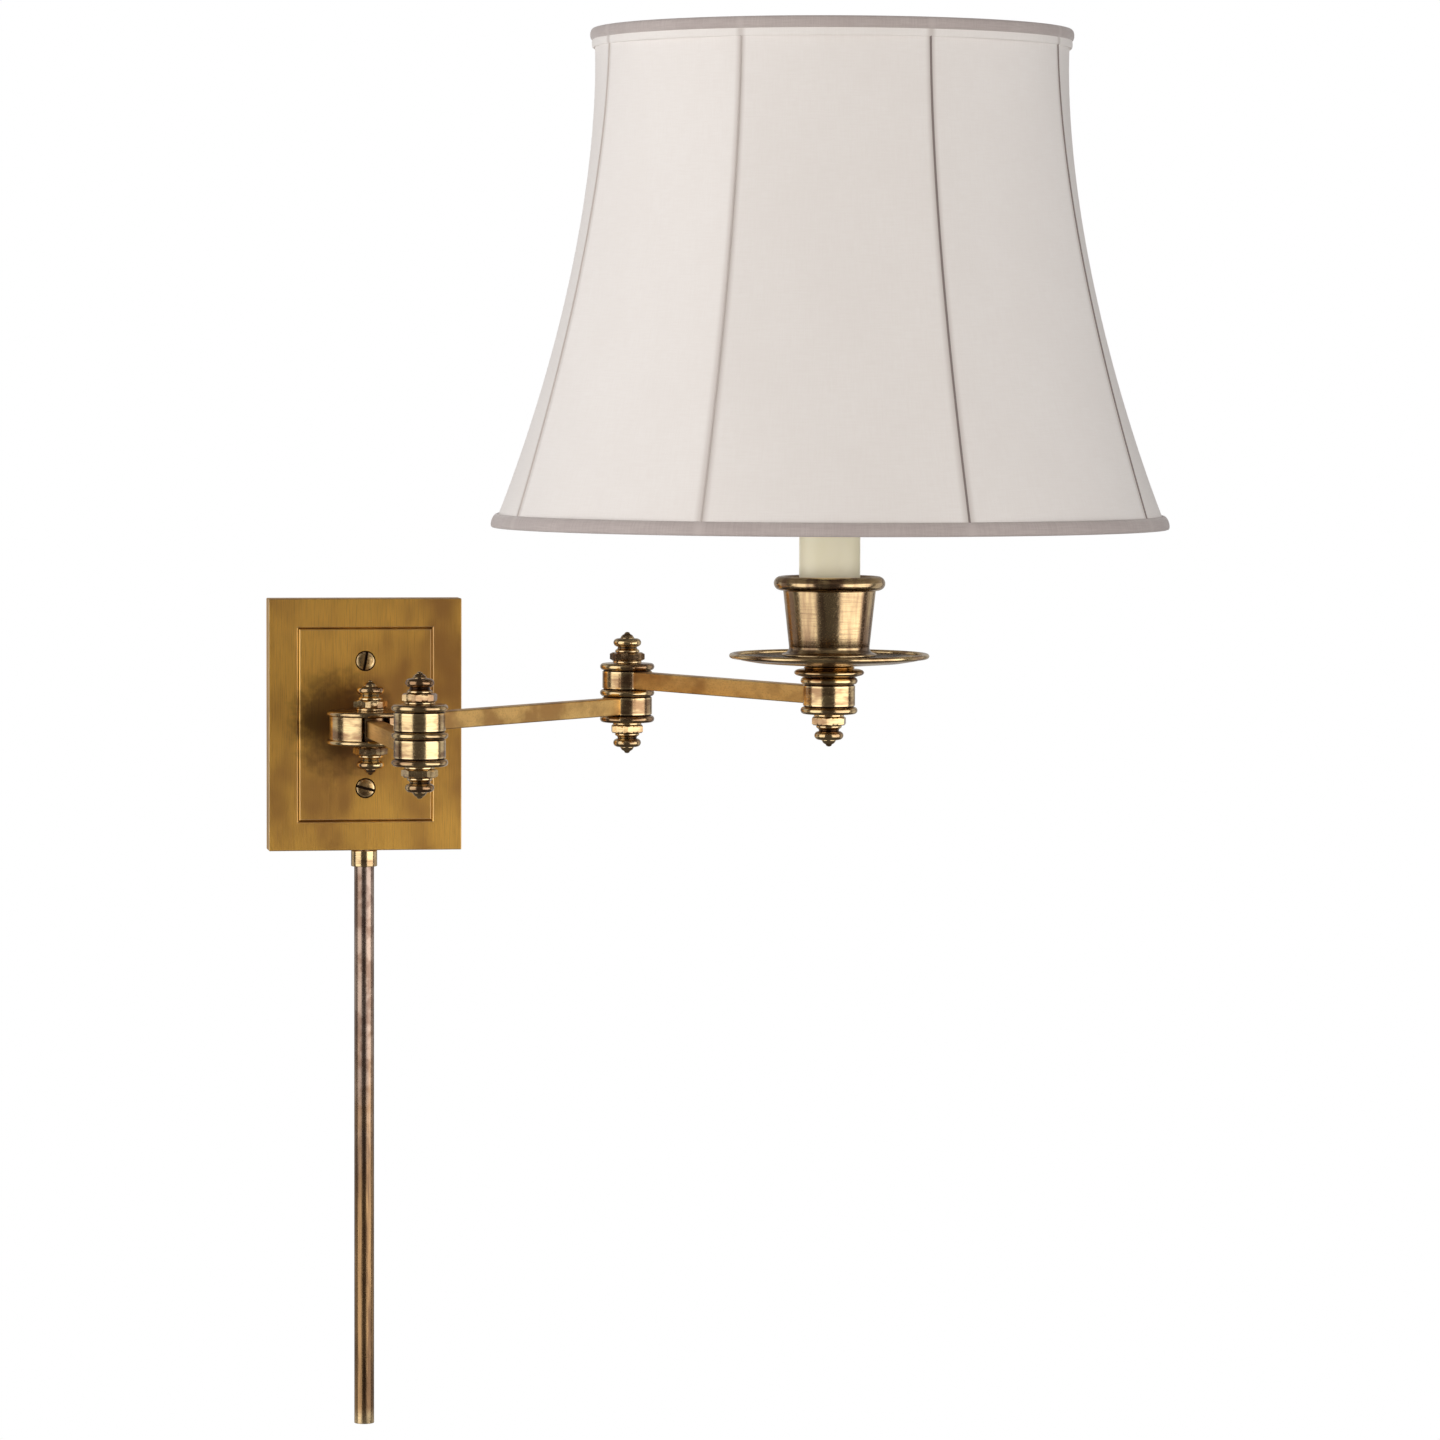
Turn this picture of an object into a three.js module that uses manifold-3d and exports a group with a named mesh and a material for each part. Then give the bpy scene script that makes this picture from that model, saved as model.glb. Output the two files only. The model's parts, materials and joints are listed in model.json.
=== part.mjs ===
// Swing arm wall lamp: a wall plate, three square-tube arms on turned barrel joints, a candle and a drip dish,
// and a bell-shaped cloth shade. Millimetres, +Z up. The origin is the middle of the plate's back, on the
// wall; -Y points out from the wall and +X to the right. Each arm's group has its pivot at its own origin, and
// the arm runs along the group's -Y.
import * as THREE from "three";
import { mergeVertices } from "three/addons/utils/BufferGeometryUtils.js";
import Module from "manifold-3d";

const wasm = await Module();
wasm.setup();

// ---- Driving dimensions -----------------------------------------------------------------------------------

const GAP = 0.3; // air between pieces that touch
const FACE_GAP = 0.2; // air between turned faces stacked on one rod
const TURNED_SIDES = 20; // sides of a turned piece
const SMALL_SIDES = 12; // sides of a small turned piece

// Wall plate: a shallow pan
const PLATE_WIDTH = 92;
const PLATE_HEIGHT = 120;
const PLATE_DEPTH = 13;
const PLATE_WALL = 1.6;
const GROOVE_INSET = 13.5;
const GROOVE_WIDTH = 1.2;
const GROOVE_DEPTH = 0.6;
const SCREW_SPACING = 60.6;
const SCREW_HEAD_RADIUS = 4.3;
const SCREW_SHANK_RADIUS = 2.1;
const SLOT_WIDTH = 1.1;

// Mounting strap inside the pan
const STRAP_WIDTH = 20;
const STRAP_HEIGHT = 104;
const STRAP_THICK = 2;

// Cord tube below the plate
const TUBE_OUT = 6.6; // the tube's axis from the wall
const TUBE_RADIUS = 4.75;
const TUBE_BORE = 3.9;
const TUBE_LENGTH = 268; // below the collar
const COLLAR_RADIUS = 6.25;
const COLLAR_LENGTH = 7.7; // below the plate

// Arms
const ARM_LENGTH = 158.75; // between two joint axes
const ARM_SIDE = 8;
const ARM_BORE = 6;
const LEVEL_STEP = 12.2; // height from one arm to the next
const SHOULDER_OUT = 35.5; // first joint's axis from the wall
const ARM_1_ANGLE = 2; // from straight out towards +X, with the arms as they rest
const ARM_2_ANGLE = 136;
const ARM_3_ANGLE = 26;

// Turned barrels of the joints
const FLANGE_RADIUS = 12.7;
const FLANGE_HALF = 1.6;
const FLANGE_ROOT = 11.1;
const BARREL_RADIUS = 11.6;
const BARREL_CAVITY = 9.2;
const BARREL_END = 2.2; // thickness of a barrel's end wall
const HEAD_BARREL_HEIGHT = 13.2; // between the head barrel's flange centres

// Rod, washer, nut and finial of a joint
const ROD_RADIUS = 4.76;
const ROD_BORE = 3.2;
const ROD_HOLE = 5.1; // what the rod passes through
const WASHER_RADIUS = 6.7;
const WASHER_THICK = 0.8;
const NUT_ACROSS_FLATS = 14.3;
const NUT_THICK = 3.8;
const FINIAL_STUD = 2.85;

// Shoulder drum at the wall
const DRUM_RADIUS = 19.5;
const DRUM_WALL = 2;
const DRUM_FLANGE_RADIUS = 20.8;
const DRUM_FLANGE_HALF = 1.3;
const DRUM_HALF = 6.7; // from the middle to a flange's centre
const DRUM_NOTCH = 13.5; // opening round the arm
const DRUM_SEAT_RADIUS = 14.4; // inner wall that the arm is brazed into
const STEM_RADIUS = 4.5;
const POST_EYE_RADIUS = 7.4;

// Head: heights are above the head barrel's upper flange centre
const DISC_RADIUS = 15.6;
const DISC_HEIGHT = 4.9;
const DISH_RADIUS = 44.6;
const DISH_RIM_HEIGHT = 12.2;
const DISH_SEAT = 3.7; // from the dish's underside to the seat of the cup
const CUP_FOOT_RADIUS = 21.1;
const CUP_LOW_RADIUS = 17.9;
const CUP_HIGH_RADIUS = 20.6;
const CUP_RIM_RADIUS = 24.8;
const CUP_RIM_HEIGHT = 46.5;
const SLEEVE_RADIUS = 13.6;
const SLEEVE_TOP = 92;
const SOCKET_RADIUS = 17.5;
const SOCKET_HEIGHT = 44;
const SOCKET_WELL = 14.2; // radius of the hollow that the bulb screws into
const SOCKET_FLOOR = 16; // from the socket's foot to the bottom of that hollow
const SHOULDER_RADIUS = 21; // shoulder that the fitter ring sits on
const SHOULDER_FOOT = 17;
const SHOULDER_TOP = 18.6;
const THREAD_RADIUS = 19.2; // band that the ring nut screws on
const THREAD_TOP = 28;
const BULB_BASE_RADIUS = 13;
const BULB_BASE_HEIGHT = 25;
const BULB_RADIUS = 30;
const FITTER_RING_RADIUS = 26;
const FITTER_RING_HOLE = 19.6;
const FITTER_RING_THICK = 1.8;
const RING_NUT_RADIUS = 22.4;
const RING_NUT_THICK = 4.4;

// Shade: heights are above the head barrel's upper flange centre
const SHADE_BOTTOM = 68;
const SHADE_HEIGHT = 220;
const SHADE_BOTTOM_RADIUS = 149.8;
const SHADE_TOP_RADIUS = 105.5;
const SHADE_SIDES = 32;
const PANELS = 8;
const CLOTH = 0.8;
const WIRE_RADIUS = 1.2;
const FITTER_WIRE_RADIUS = 1.4;
const FRAME_OFFSET = 2.7; // wire centre inside the cloth's outer face
const LINING_OFFSET = 4.7;
const LINING_THICK = 0.6;
const LINING_FOOT = 4; // above the shade's bottom
const LINING_HEAD = 9; // below the shade's top
const BOTTOM_TRIM_HEIGHT = 6;
const TOP_TRIM_HEIGHT = 8.4;
const TRIM_THICK = 1.2;
const SEAM_TURN = 13; // first seam, from straight out towards +X

const rad = THREE.MathUtils.degToRad;

// ---- Materials --------------------------------------------------------------------------------------------

const finish = (color, roughness, metalness) =>
  new THREE.MeshStandardMaterial({ color, roughness, metalness });
const brass = () => finish(0xa9834a, 0.3, 1);
const plateBrass = () => finish(0xa07a3f, 0.45, 1);
const steel = () => finish(0xb8bcc0, 0.4, 1);
const ivory = () => finish(0xe8e2c8, 0.5, 0);
const cloth = () => finish(0xf3f0ee, 0.9, 0);
const trimCloth = () => finish(0xd9d2d2, 0.9, 0);
const glass = () => finish(0xf7f5ee, 0.3, 0);
const black = () => finish(0x1c1c1e, 0.5, 0);

// ---- Solids -----------------------------------------------------------------------------------------------

// A closed geometry as a manifold-3d solid, with its faces turned outwards.
function solid(geometry) {
  const bare = geometry.clone();
  bare.deleteAttribute("normal");
  bare.deleteAttribute("uv");
  const merged = mergeVertices(bare, 1e-4);
  const position = merged.getAttribute("position");
  const corners = [];
  let volume = 0;
  const a = new THREE.Vector3();
  const b = new THREE.Vector3();
  const c = new THREE.Vector3();
  for (let i = 0; i < merged.index.count; i += 3) {
    const [p, q, r] = [0, 1, 2].map((k) => merged.index.getX(i + k));
    if (p === q || q === r || r === p) continue;
    corners.push([p, q, r]);
    a.fromBufferAttribute(position, p);
    b.fromBufferAttribute(position, q);
    c.fromBufferAttribute(position, r);
    volume += a.dot(b.cross(c));
  }
  const ordered = volume < 0 ? corners.map(([p, q, r]) => [p, r, q]) : corners;
  return new wasm.Manifold(
    new wasm.Mesh({
      numProp: 3,
      vertProperties: new Float32Array(position.array),
      triVerts: new Uint32Array(ordered.flat()),
    }),
  );
}

// A solid's surface as a three.js geometry.
function geometryOf(body) {
  const mesh = body.getMesh();
  const geometry = new THREE.BufferGeometry();
  const position = new Float32Array(mesh.numVert * 3);
  for (let i = 0; i < mesh.numVert; i++) {
    const start = i * mesh.numProp;
    position.set(mesh.vertProperties.subarray(start, start + 3), i * 3);
  }
  geometry.setAttribute("position", new THREE.BufferAttribute(position, 3));
  geometry.setIndex(new THREE.BufferAttribute(new Uint32Array(mesh.triVerts), 1));
  const flat = geometry.toNonIndexed();
  flat.computeVertexNormals();
  return flat;
}

// Adds one named piece to a group.
function piece(group, name, body, material) {
  const mesh = new THREE.Mesh(geometryOf(body), material);
  mesh.name = name;
  group.add(mesh);
}

// A profile of [radius, height] points turned about the Z axis.
function turned(points, sides = TURNED_SIDES) {
  const profile = points.map(([r, z]) => new THREE.Vector2(r, z));
  return solid(new THREE.LatheGeometry(profile, sides).rotateX(Math.PI / 2));
}

// A profile that closes on itself, so that the turned piece has a hole through it.
const turnedLoop = (points, sides) => turned([...points, points[0]], sides);

// A plain washer or tube from z = low to z = high.
const tube = (outer, bore, low, high, sides = TURNED_SIDES) =>
  turnedLoop(
    [
      [outer, low],
      [outer, high],
      [bore, high],
      [bore, low],
    ],
    sides,
  );

// A solid round bar from z = low to z = high.
const bar = (radius, low, high, sides = TURNED_SIDES) =>
  turned(
    [
      [0, low],
      [radius, low],
      [radius, high],
      [0, high],
    ],
    sides,
  );

// A block given by its lowest and highest corners.
function block(low, high) {
  const size = low.map((v, i) => high[i] - v);
  const middle = low.map((v, i) => (v + high[i]) / 2);
  return solid(new THREE.BoxGeometry(...size).translate(...middle));
}

// Half-round bead points, going up: from the root below the middle to the root above it.
function bead(outer, root, middle, half, steps = 3, from = -90, to = 90) {
  return Array.from({ length: steps + 1 }, (_, i) => {
    const angle = rad(from + ((to - from) * i) / steps);
    return [root + (outer - root) * Math.cos(angle), middle + half * Math.sin(angle)];
  });
}

// A wire of round section through the given points.
function wire(points, radius, steps, sides = 6) {
  const section = new THREE.Shape(
    Array.from({ length: sides }, (_, i) => {
      const angle = (2 * Math.PI * i) / sides;
      return new THREE.Vector2(radius * Math.cos(angle), radius * Math.sin(angle));
    }),
  );
  const path = new THREE.CatmullRomCurve3(points.map((p) => new THREE.Vector3(...p)));
  return solid(new THREE.ExtrudeGeometry(section, { steps, extrudePath: path, bevelEnabled: false }));
}

// ---- Joint hardware ---------------------------------------------------------------------------------------

// A hex nut standing on z = 0, one corner towards -Y.
function hexNut() {
  const corner = NUT_ACROSS_FLATS / Math.sqrt(3);
  const outline = new THREE.Shape(
    Array.from({ length: 6 }, (_, i) => {
      const angle = rad(60 * i - 90);
      return new THREE.Vector2(corner * Math.cos(angle), corner * Math.sin(angle));
    }),
  );
  const prism = solid(new THREE.ExtrudeGeometry(outline, { depth: NUT_THICK, bevelEnabled: false }));
  return prism.subtract(bar(ROD_HOLE, -1, NUT_THICK + 1, SMALL_SIDES));
}

// A turned finial standing on z = 0: a flared neck, a round bead and a pointed dome, with a stud below.
function finial() {
  return turned(
    [
      [0, -5],
      [FINIAL_STUD, -5],
      [FINIAL_STUD, 0],
      [5.8, 0],
      [4.9, 1.2],
      [4.5, 2.3],
      ...bead(6.5, 4.3, 4.4, 2.05),
      [3.1, 6.6],
      [2.3, 7.8],
      [0.9, 9.1],
      [0, 9.4],
    ],
    SMALL_SIDES,
  );
}

// The end of a rod: washer, nut and finial stacked outwards from a barrel's end face.
function rodEnd(group, joint, side, face, nutTurn) {
  const outward = side === "upper" ? 1 : -1;
  const end = new THREE.Group();
  end.position.z = face;
  if (outward < 0) end.rotation.x = Math.PI;
  group.add(end);
  const nutFoot = FACE_GAP + WASHER_THICK + FACE_GAP;
  const washer = tube(WASHER_RADIUS, ROD_HOLE, FACE_GAP, FACE_GAP + WASHER_THICK, SMALL_SIDES);
  piece(end, `${joint}_washer_${side}`, washer, brass());
  const turnedNut = new THREE.Group();
  turnedNut.position.z = nutFoot;
  turnedNut.rotation.z = rad(nutTurn * outward);
  end.add(turnedNut);
  piece(turnedNut, `${joint}_nut_${side}`, hexNut(), brass());
  const seat = new THREE.Group();
  seat.position.z = nutFoot + NUT_THICK + FACE_GAP;
  end.add(seat);
  piece(seat, `${joint}_finial_${side}`, finial(), brass());
}

// How far a rod reaches past a barrel's end face: just short of the finial's seat.
const ROD_PAST_FACE = 2 * FACE_GAP + WASHER_THICK + NUT_THICK;

// A hollow threaded rod from one end face to the other, with windows for the lead at the given heights.
function rod(lowFace, highFace, windows) {
  let body = tube(ROD_RADIUS, ROD_BORE, lowFace - ROD_PAST_FACE, highFace + ROD_PAST_FACE, SMALL_SIDES);
  for (const z of windows) body = body.subtract(block([-1.8, -8, z - 2.5], [1.8, 8, z + 2.5]));
  return body;
}

// ---- Barrels and arms -------------------------------------------------------------------------------------

// A hollow turned barrel, its flanges centred half a height above and below z = 0. A shared flange is split
// between the two barrels that meet there. The arm's hole is on the side given by armSide: 1 faces -Y, -1 +Y.
function barrel(height, shared, armSide) {
  const half = height / 2;
  const edge = Math.asin(FACE_GAP / 2 / FLANGE_HALF) * THREE.MathUtils.RAD2DEG;
  const foot =
    shared === "bottom"
      ? bead(FLANGE_RADIUS, FLANGE_ROOT, -half, FLANGE_HALF, 2, edge, 90)
      : bead(FLANGE_RADIUS, FLANGE_ROOT, -half, FLANGE_HALF);
  const head =
    shared === "top"
      ? bead(FLANGE_RADIUS, FLANGE_ROOT, half, FLANGE_HALF, 2, -90, -edge)
      : bead(FLANGE_RADIUS, FLANGE_ROOT, half, FLANGE_HALF);
  const low = foot[0][1];
  const high = head[head.length - 1][1];
  const cavity = half - BARREL_END / 2;
  const body = turnedLoop([
    [ROD_HOLE, low],
    ...foot,
    [BARREL_RADIUS, -half + FLANGE_HALF + 0.3],
    [BARREL_RADIUS, half - FLANGE_HALF - 0.3],
    ...head,
    [ROD_HOLE, high],
    [ROD_HOLE, cavity],
    [BARREL_CAVITY, cavity],
    [BARREL_CAVITY, -cavity],
    [ROD_HOLE, -cavity],
  ]);
  const holeHalf = ARM_SIDE / 2 + GAP;
  const [near, far] = [-armSide * 7, -armSide * 14];
  const hole = block([-holeHalf, Math.min(near, far), -holeHalf], [holeHalf, Math.max(near, far), holeHalf]);
  return body.subtract(hole);
}

// A square tube along -Y from y = -start to y = -end.
function armTube(start, end) {
  const half = ARM_SIDE / 2;
  const bore = ARM_BORE / 2;
  return block([-half, -end, -half], [half, -start, half]).subtract(
    block([-bore, -end - 1, -bore], [bore, -start + 1, bore]),
  );
}
const ARM_IN_WALL = 10; // an arm ends this far from a barrel's axis, inside its wall
const BARREL_FACE = LEVEL_STEP / 2 + FLANGE_HALF; // from a barrel's middle to its outer end face

// ---- The fixed part on the wall ---------------------------------------------------------------------------

// The plate: a pan open to the wall, with a rectangular groove cut round its face.
function wallPlate() {
  const [w, h] = [PLATE_WIDTH / 2, PLATE_HEIGHT / 2];
  const groove = (inset, depth) =>
    block(
      [-w + inset, -PLATE_DEPTH - 1, -h + inset],
      [w - inset, -PLATE_DEPTH + depth, h - inset],
    );
  const field = groove(GROOVE_INSET + GROOVE_WIDTH, GROOVE_DEPTH + 1);
  const ring = groove(GROOVE_INSET, GROOVE_DEPTH).subtract(field);
  const hollow = block(
    [-w + PLATE_WALL, -PLATE_DEPTH + PLATE_WALL, -h + PLATE_WALL],
    [w - PLATE_WALL, 1, h - PLATE_WALL],
  );
  let body = block([-w, -PLATE_DEPTH, -h], [w, 0, h]).subtract(hollow).subtract(ring);
  for (const z of [SCREW_SPACING / 2, -SCREW_SPACING / 2]) {
    body = body.subtract(along(bar(SCREW_SHANK_RADIUS + GAP, -1, PLATE_DEPTH + 1, SMALL_SIDES), z));
  }
  body = body.subtract(along(bar(STEM_RADIUS + GAP, -1, PLATE_DEPTH + 1), 0));
  const tubeHole = bar(TUBE_RADIUS + GAP, -h - 1, -h + PLATE_WALL + 1).translate([0, -TUBE_OUT, 0]);
  return body.subtract(tubeHole);
}

// Lays a piece that was turned about Z along -Y, at height z: its z = 0 comes to the wall.
const along = (body, z) => body.rotate([90, 0, 0]).translate([0, 0, z]);

// A slotted oval-head screw along -Y, its head outside the plate.
function plateScrew() {
  const under = PLATE_DEPTH + FACE_GAP;
  const screw = turned(
    [
      [0, STRAP_THICK + 1],
      [SCREW_SHANK_RADIUS, STRAP_THICK + 1],
      [SCREW_SHANK_RADIUS, under],
      [SCREW_HEAD_RADIUS, under],
      [SCREW_HEAD_RADIUS, under + 0.5],
      [SCREW_HEAD_RADIUS * 0.75, under + 1.2],
      [0, under + 1.6],
    ],
    SMALL_SIDES,
  );
  return screw.subtract(block([-SLOT_WIDTH / 2, -6, under + 0.7], [SLOT_WIDTH / 2, 6, under + 3]));
}

// The hollow stem from the strap to the eye round the shoulder post, in the first joint's frame.
function wallStem() {
  const back = SHOULDER_OUT - STRAP_THICK - GAP;
  const stem = bar(STEM_RADIUS, POST_EYE_RADIUS - 2, back).rotate([-90, 0, 0]);
  const eye = bar(POST_EYE_RADIUS, -DRUM_HALF + DRUM_FLANGE_HALF + GAP, DRUM_HALF - DRUM_FLANGE_HALF - GAP);
  const bore = bar(ROD_BORE, ROD_RADIUS - 1, back + 1).rotate([-90, 0, 0]);
  return stem.add(eye).subtract(bore).subtract(bar(ROD_HOLE, -10, 10));
}

// The round drum that turns on the post: two discs, a front wall and an inner wall that hold the arm.
function shoulderDrum() {
  const inner = DRUM_HALF - DRUM_FLANGE_HALF;
  const disc = (middle) =>
    turnedLoop([
      [ROD_HOLE, middle - DRUM_FLANGE_HALF],
      ...bead(DRUM_FLANGE_RADIUS, DRUM_RADIUS, middle, DRUM_FLANGE_HALF),
      [ROD_HOLE, middle + DRUM_FLANGE_HALF],
    ]);
  const frontHalf = block([-30, -30, -20], [30, 0, 20]);
  const reach = inner + 0.5; // the walls run a little into the discs
  const wall = tube(DRUM_RADIUS, DRUM_RADIUS - DRUM_WALL, -reach, reach).intersect(frontHalf);
  const notch = block([-DRUM_NOTCH / 2, -30, -inner], [DRUM_NOTCH / 2, -DRUM_SEAT_RADIUS - 0.5, inner]);
  const seat = tube(DRUM_SEAT_RADIUS, DRUM_SEAT_RADIUS - 2, -reach, reach).intersect(
    block([-9, -30, -20], [9, 0, 20]),
  );
  const half = ARM_SIDE / 2 + GAP;
  const armHole = block([-half, -30, -half], [half, -5, half]);
  return disc(DRUM_HALF).add(disc(-DRUM_HALF)).add(wall.subtract(notch)).add(seat).subtract(armHole);
}

// ---- The head ---------------------------------------------------------------------------------------------

// The turned disc between the head barrel and the dish: a neck ring over a flat disc.
const headDisc = (z) =>
  turnedLoop([
    [ROD_HOLE, z],
    [12.6, z],
    ...bead(DISC_RADIUS, 12.6, z + 1.8, 1.5),
    [11, z + 3.5],
    [11, z + DISC_HEIGHT - 0.7],
    [10.2, z + DISC_HEIGHT],
    [ROD_HOLE, z + DISC_HEIGHT],
  ]);

// The drip dish: a shallow spun cone with a rolled rim and a raised seat for the cup.
const dripDish = (z, rim) =>
  turnedLoop([
    [ROD_HOLE, z],
    [12, z],
    [42, rim - 2],
    [DISH_RADIUS - 0.3, rim - 1.1],
    [DISH_RADIUS, rim - 0.4],
    [DISH_RADIUS - 0.9, rim],
    [DISH_RADIUS - 2.2, rim - 0.6],
    [16, z + 1.4],
    [14.5, z + DISH_SEAT],
    [ROD_HOLE, z + DISH_SEAT],
  ]);

// The candle cup: a flared foot, a tapered wall and a rolled rim, hollow from the top.
const candleCup = (z, rim) =>
  turnedLoop([
    [ROD_HOLE, z],
    ...bead(CUP_FOOT_RADIUS, 18.4, z + 1, 1, 2, -90, 60),
    [CUP_LOW_RADIUS, z + 3.6],
    [CUP_HIGH_RADIUS, rim - 6.2],
    ...bead(CUP_RIM_RADIUS, CUP_HIGH_RADIUS + 0.6, rim - 3.1, 3.1),
    [CUP_HIGH_RADIUS - 1, rim],
    [CUP_HIGH_RADIUS - 1.2, rim - 6.2],
    [CUP_LOW_RADIUS - 1.2, z + 4.6],
    [CUP_LOW_RADIUS - 2, z + 2],
    [ROD_HOLE, z + 2],
  ]);

// The keyless socket on the pipe's top: a skirt, a threaded band with a shoulder for the shade ring, a mouth.
const lampSocket = (z) =>
  turnedLoop([
    [ROD_RADIUS + GAP, z],
    [12, z],
    [SOCKET_RADIUS, z + 7],
    [SOCKET_RADIUS, z + SHOULDER_FOOT],
    [SHOULDER_RADIUS, z + SHOULDER_FOOT],
    [SHOULDER_RADIUS, z + SHOULDER_TOP],
    [THREAD_RADIUS, z + SHOULDER_TOP],
    [THREAD_RADIUS, z + THREAD_TOP],
    [SOCKET_RADIUS, z + THREAD_TOP],
    [SOCKET_RADIUS, z + SOCKET_HEIGHT],
    [SOCKET_WELL, z + SOCKET_HEIGHT],
    [SOCKET_WELL, z + SOCKET_FLOOR],
    [ROD_RADIUS + GAP, z + SOCKET_FLOOR],
  ]);

// The bulb's metal base, standing on z.
const bulbBase = (z) =>
  turned(
    [
      [0, z],
      [4.5, z],
      [9, z + 3],
      [BULB_BASE_RADIUS, z + 4.5],
      [BULB_BASE_RADIUS, z + BULB_BASE_HEIGHT],
      [0, z + BULB_BASE_HEIGHT],
    ],
    SMALL_SIDES,
  );

// The bulb's glass above its base.
const bulbGlass = (z) =>
  turned([
    [0, z],
    [13.4, z],
    [15.5, z + 10],
    [22, z + 24],
    [28.4, z + 38],
    [BULB_RADIUS, z + 51],
    [27.5, z + 64],
    [20, z + 75],
    [10, z + 80.5],
    [0, z + 82],
  ]);

// ---- The shade --------------------------------------------------------------------------------------------

// The bell curve of the cloth's outer face, bottom to top: [radius, height above the shade's bottom].
const bell = new THREE.CubicBezierCurve(
  new THREE.Vector2(SHADE_BOTTOM_RADIUS, 0),
  new THREE.Vector2(136, 0.205 * SHADE_HEIGHT),
  new THREE.Vector2(SHADE_TOP_RADIUS + 0.3, 0.636 * SHADE_HEIGHT),
  new THREE.Vector2(SHADE_TOP_RADIUS, SHADE_HEIGHT),
);
const BELL_SHARES = [0, 0.08, 0.22, 0.42, 0.64, 0.86, 0.96, 1]; // where a wall's rings lie, foot to top
const EDGE_SHARES = [0, 1];

// The bell's radius at a height above the shade's bottom.
function bellRadius(height) {
  let [low, high] = [0, 1];
  for (let i = 0; i < 40; i++) {
    const t = (low + high) / 2;
    if (bell.getPoint(t).y < height) low = t;
    else high = t;
  }
  return bell.getPoint(low).x;
}

// A cloth wall that follows the bell between two heights, its outer face inset from the bell's.
function bellWall(bottom, top, inset, thick, shares) {
  const heights = shares.map((share) => bottom + (top - bottom) * share);
  const outer = heights.map((z) => [bellRadius(z) - inset, SHADE_BOTTOM + z]);
  const inner = heights.map((z) => [bellRadius(z) - inset - thick, SHADE_BOTTOM + z]).reverse();
  return turnedLoop([...outer, ...inner], SHADE_SIDES);
}

// A wire hoop of the frame.
function hoop(height) {
  const middle = bellRadius(height) - FRAME_OFFSET;
  const section = Array.from({ length: 4 }, (_, i) => {
    const angle = rad(90 * i);
    return [middle + WIRE_RADIUS * Math.cos(angle), SHADE_BOTTOM + height + WIRE_RADIUS * Math.sin(angle)];
  });
  return turnedLoop(section, SHADE_SIDES);
}

// Heights of the two hoops' centres above the shade's bottom.
const LOW_HOOP = WIRE_RADIUS + 0.4;
const HIGH_HOOP = SHADE_HEIGHT - WIRE_RADIUS - 0.4;

// The welded wire cage: two hoops and a rib under each seam.
function shadeFrame() {
  const ribSteps = 6;
  const rib = wire(
    Array.from({ length: ribSteps + 1 }, (_, i) => {
      const height = LOW_HOOP + ((HIGH_HOOP - LOW_HOOP) * i) / ribSteps;
      return [0, -(bellRadius(height) - FRAME_OFFSET), SHADE_BOTTOM + height];
    }),
    WIRE_RADIUS - 0.1,
    ribSteps,
    4,
  );
  let body = hoop(LOW_HOOP).add(hoop(HIGH_HOOP));
  for (let i = 0; i < PANELS; i++) body = body.add(rib.rotate([0, 0, (360 / PANELS) * i]));
  return body;
}

// The fitter: a ring that the socket holds and three wires from it up to the inside of the top hoop.
function shadeFitter(ringFoot) {
  const reach = bellRadius(HIGH_HOOP) - FRAME_OFFSET - WIRE_RADIUS - 2 * GAP;
  const top = SHADE_BOTTOM + HIGH_HOOP;
  const riser = wire(
    [
      [0, -FITTER_RING_RADIUS + FITTER_WIRE_RADIUS, ringFoot + FITTER_RING_THICK / 2],
      [0, -33, ringFoot + 12],
      [0, -84, top - 16],
      [0, -94, top - 2],
      [0, -reach, top],
    ],
    FITTER_WIRE_RADIUS,
    7,
    4,
  );
  let body = tube(FITTER_RING_RADIUS, FITTER_RING_HOLE, ringFoot, ringFoot + FITTER_RING_THICK);
  for (let i = 0; i < 3; i++) body = body.add(riser.rotate([0, 0, 120 * i + 180 - SEAM_TURN]));
  return body;
}

// ---- Assembly ---------------------------------------------------------------------------------------------

const lamp = new THREE.Group();

piece(lamp, "wall_plate", wallPlate(), plateBrass());
const strap = block(
  [-STRAP_WIDTH / 2, -STRAP_THICK, -STRAP_HEIGHT / 2],
  [STRAP_WIDTH / 2, 0, STRAP_HEIGHT / 2],
);
piece(lamp, "mounting_strap", strap, steel());
for (const [side, turn, sign] of [
  ["upper", -10, 1],
  ["lower", 75, -1],
]) {
  const screw = plateScrew().rotate([0, 0, turn]);
  piece(lamp, `plate_screw_${side}`, along(screw, (sign * SCREW_SPACING) / 2), brass());
}
const nutBack = PLATE_DEPTH - PLATE_WALL - GAP; // the locknut bears on the inside of the pan's face
const locknut = hexNut().translate([0, 0, nutBack - NUT_THICK]);
piece(lamp, "stem_locknut", along(locknut, 0), steel());

const collarTop = -PLATE_HEIGHT / 2 - GAP;
const collarFoot = collarTop - COLLAR_LENGTH;
const collar = tube(COLLAR_RADIUS, TUBE_RADIUS + GAP, collarFoot, collarTop, SMALL_SIDES);
piece(lamp, "tube_collar", collar.translate([0, -TUBE_OUT, 0]), brass());
const tubeTop = -PLATE_HEIGHT / 2 + PLATE_WALL + 5;
const cordTube = tube(TUBE_RADIUS, TUBE_BORE, collarFoot - TUBE_LENGTH, tubeTop, SMALL_SIDES);
piece(lamp, "cord_tube", cordTube.translate([0, -TUBE_OUT, 0]), brass());

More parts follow.
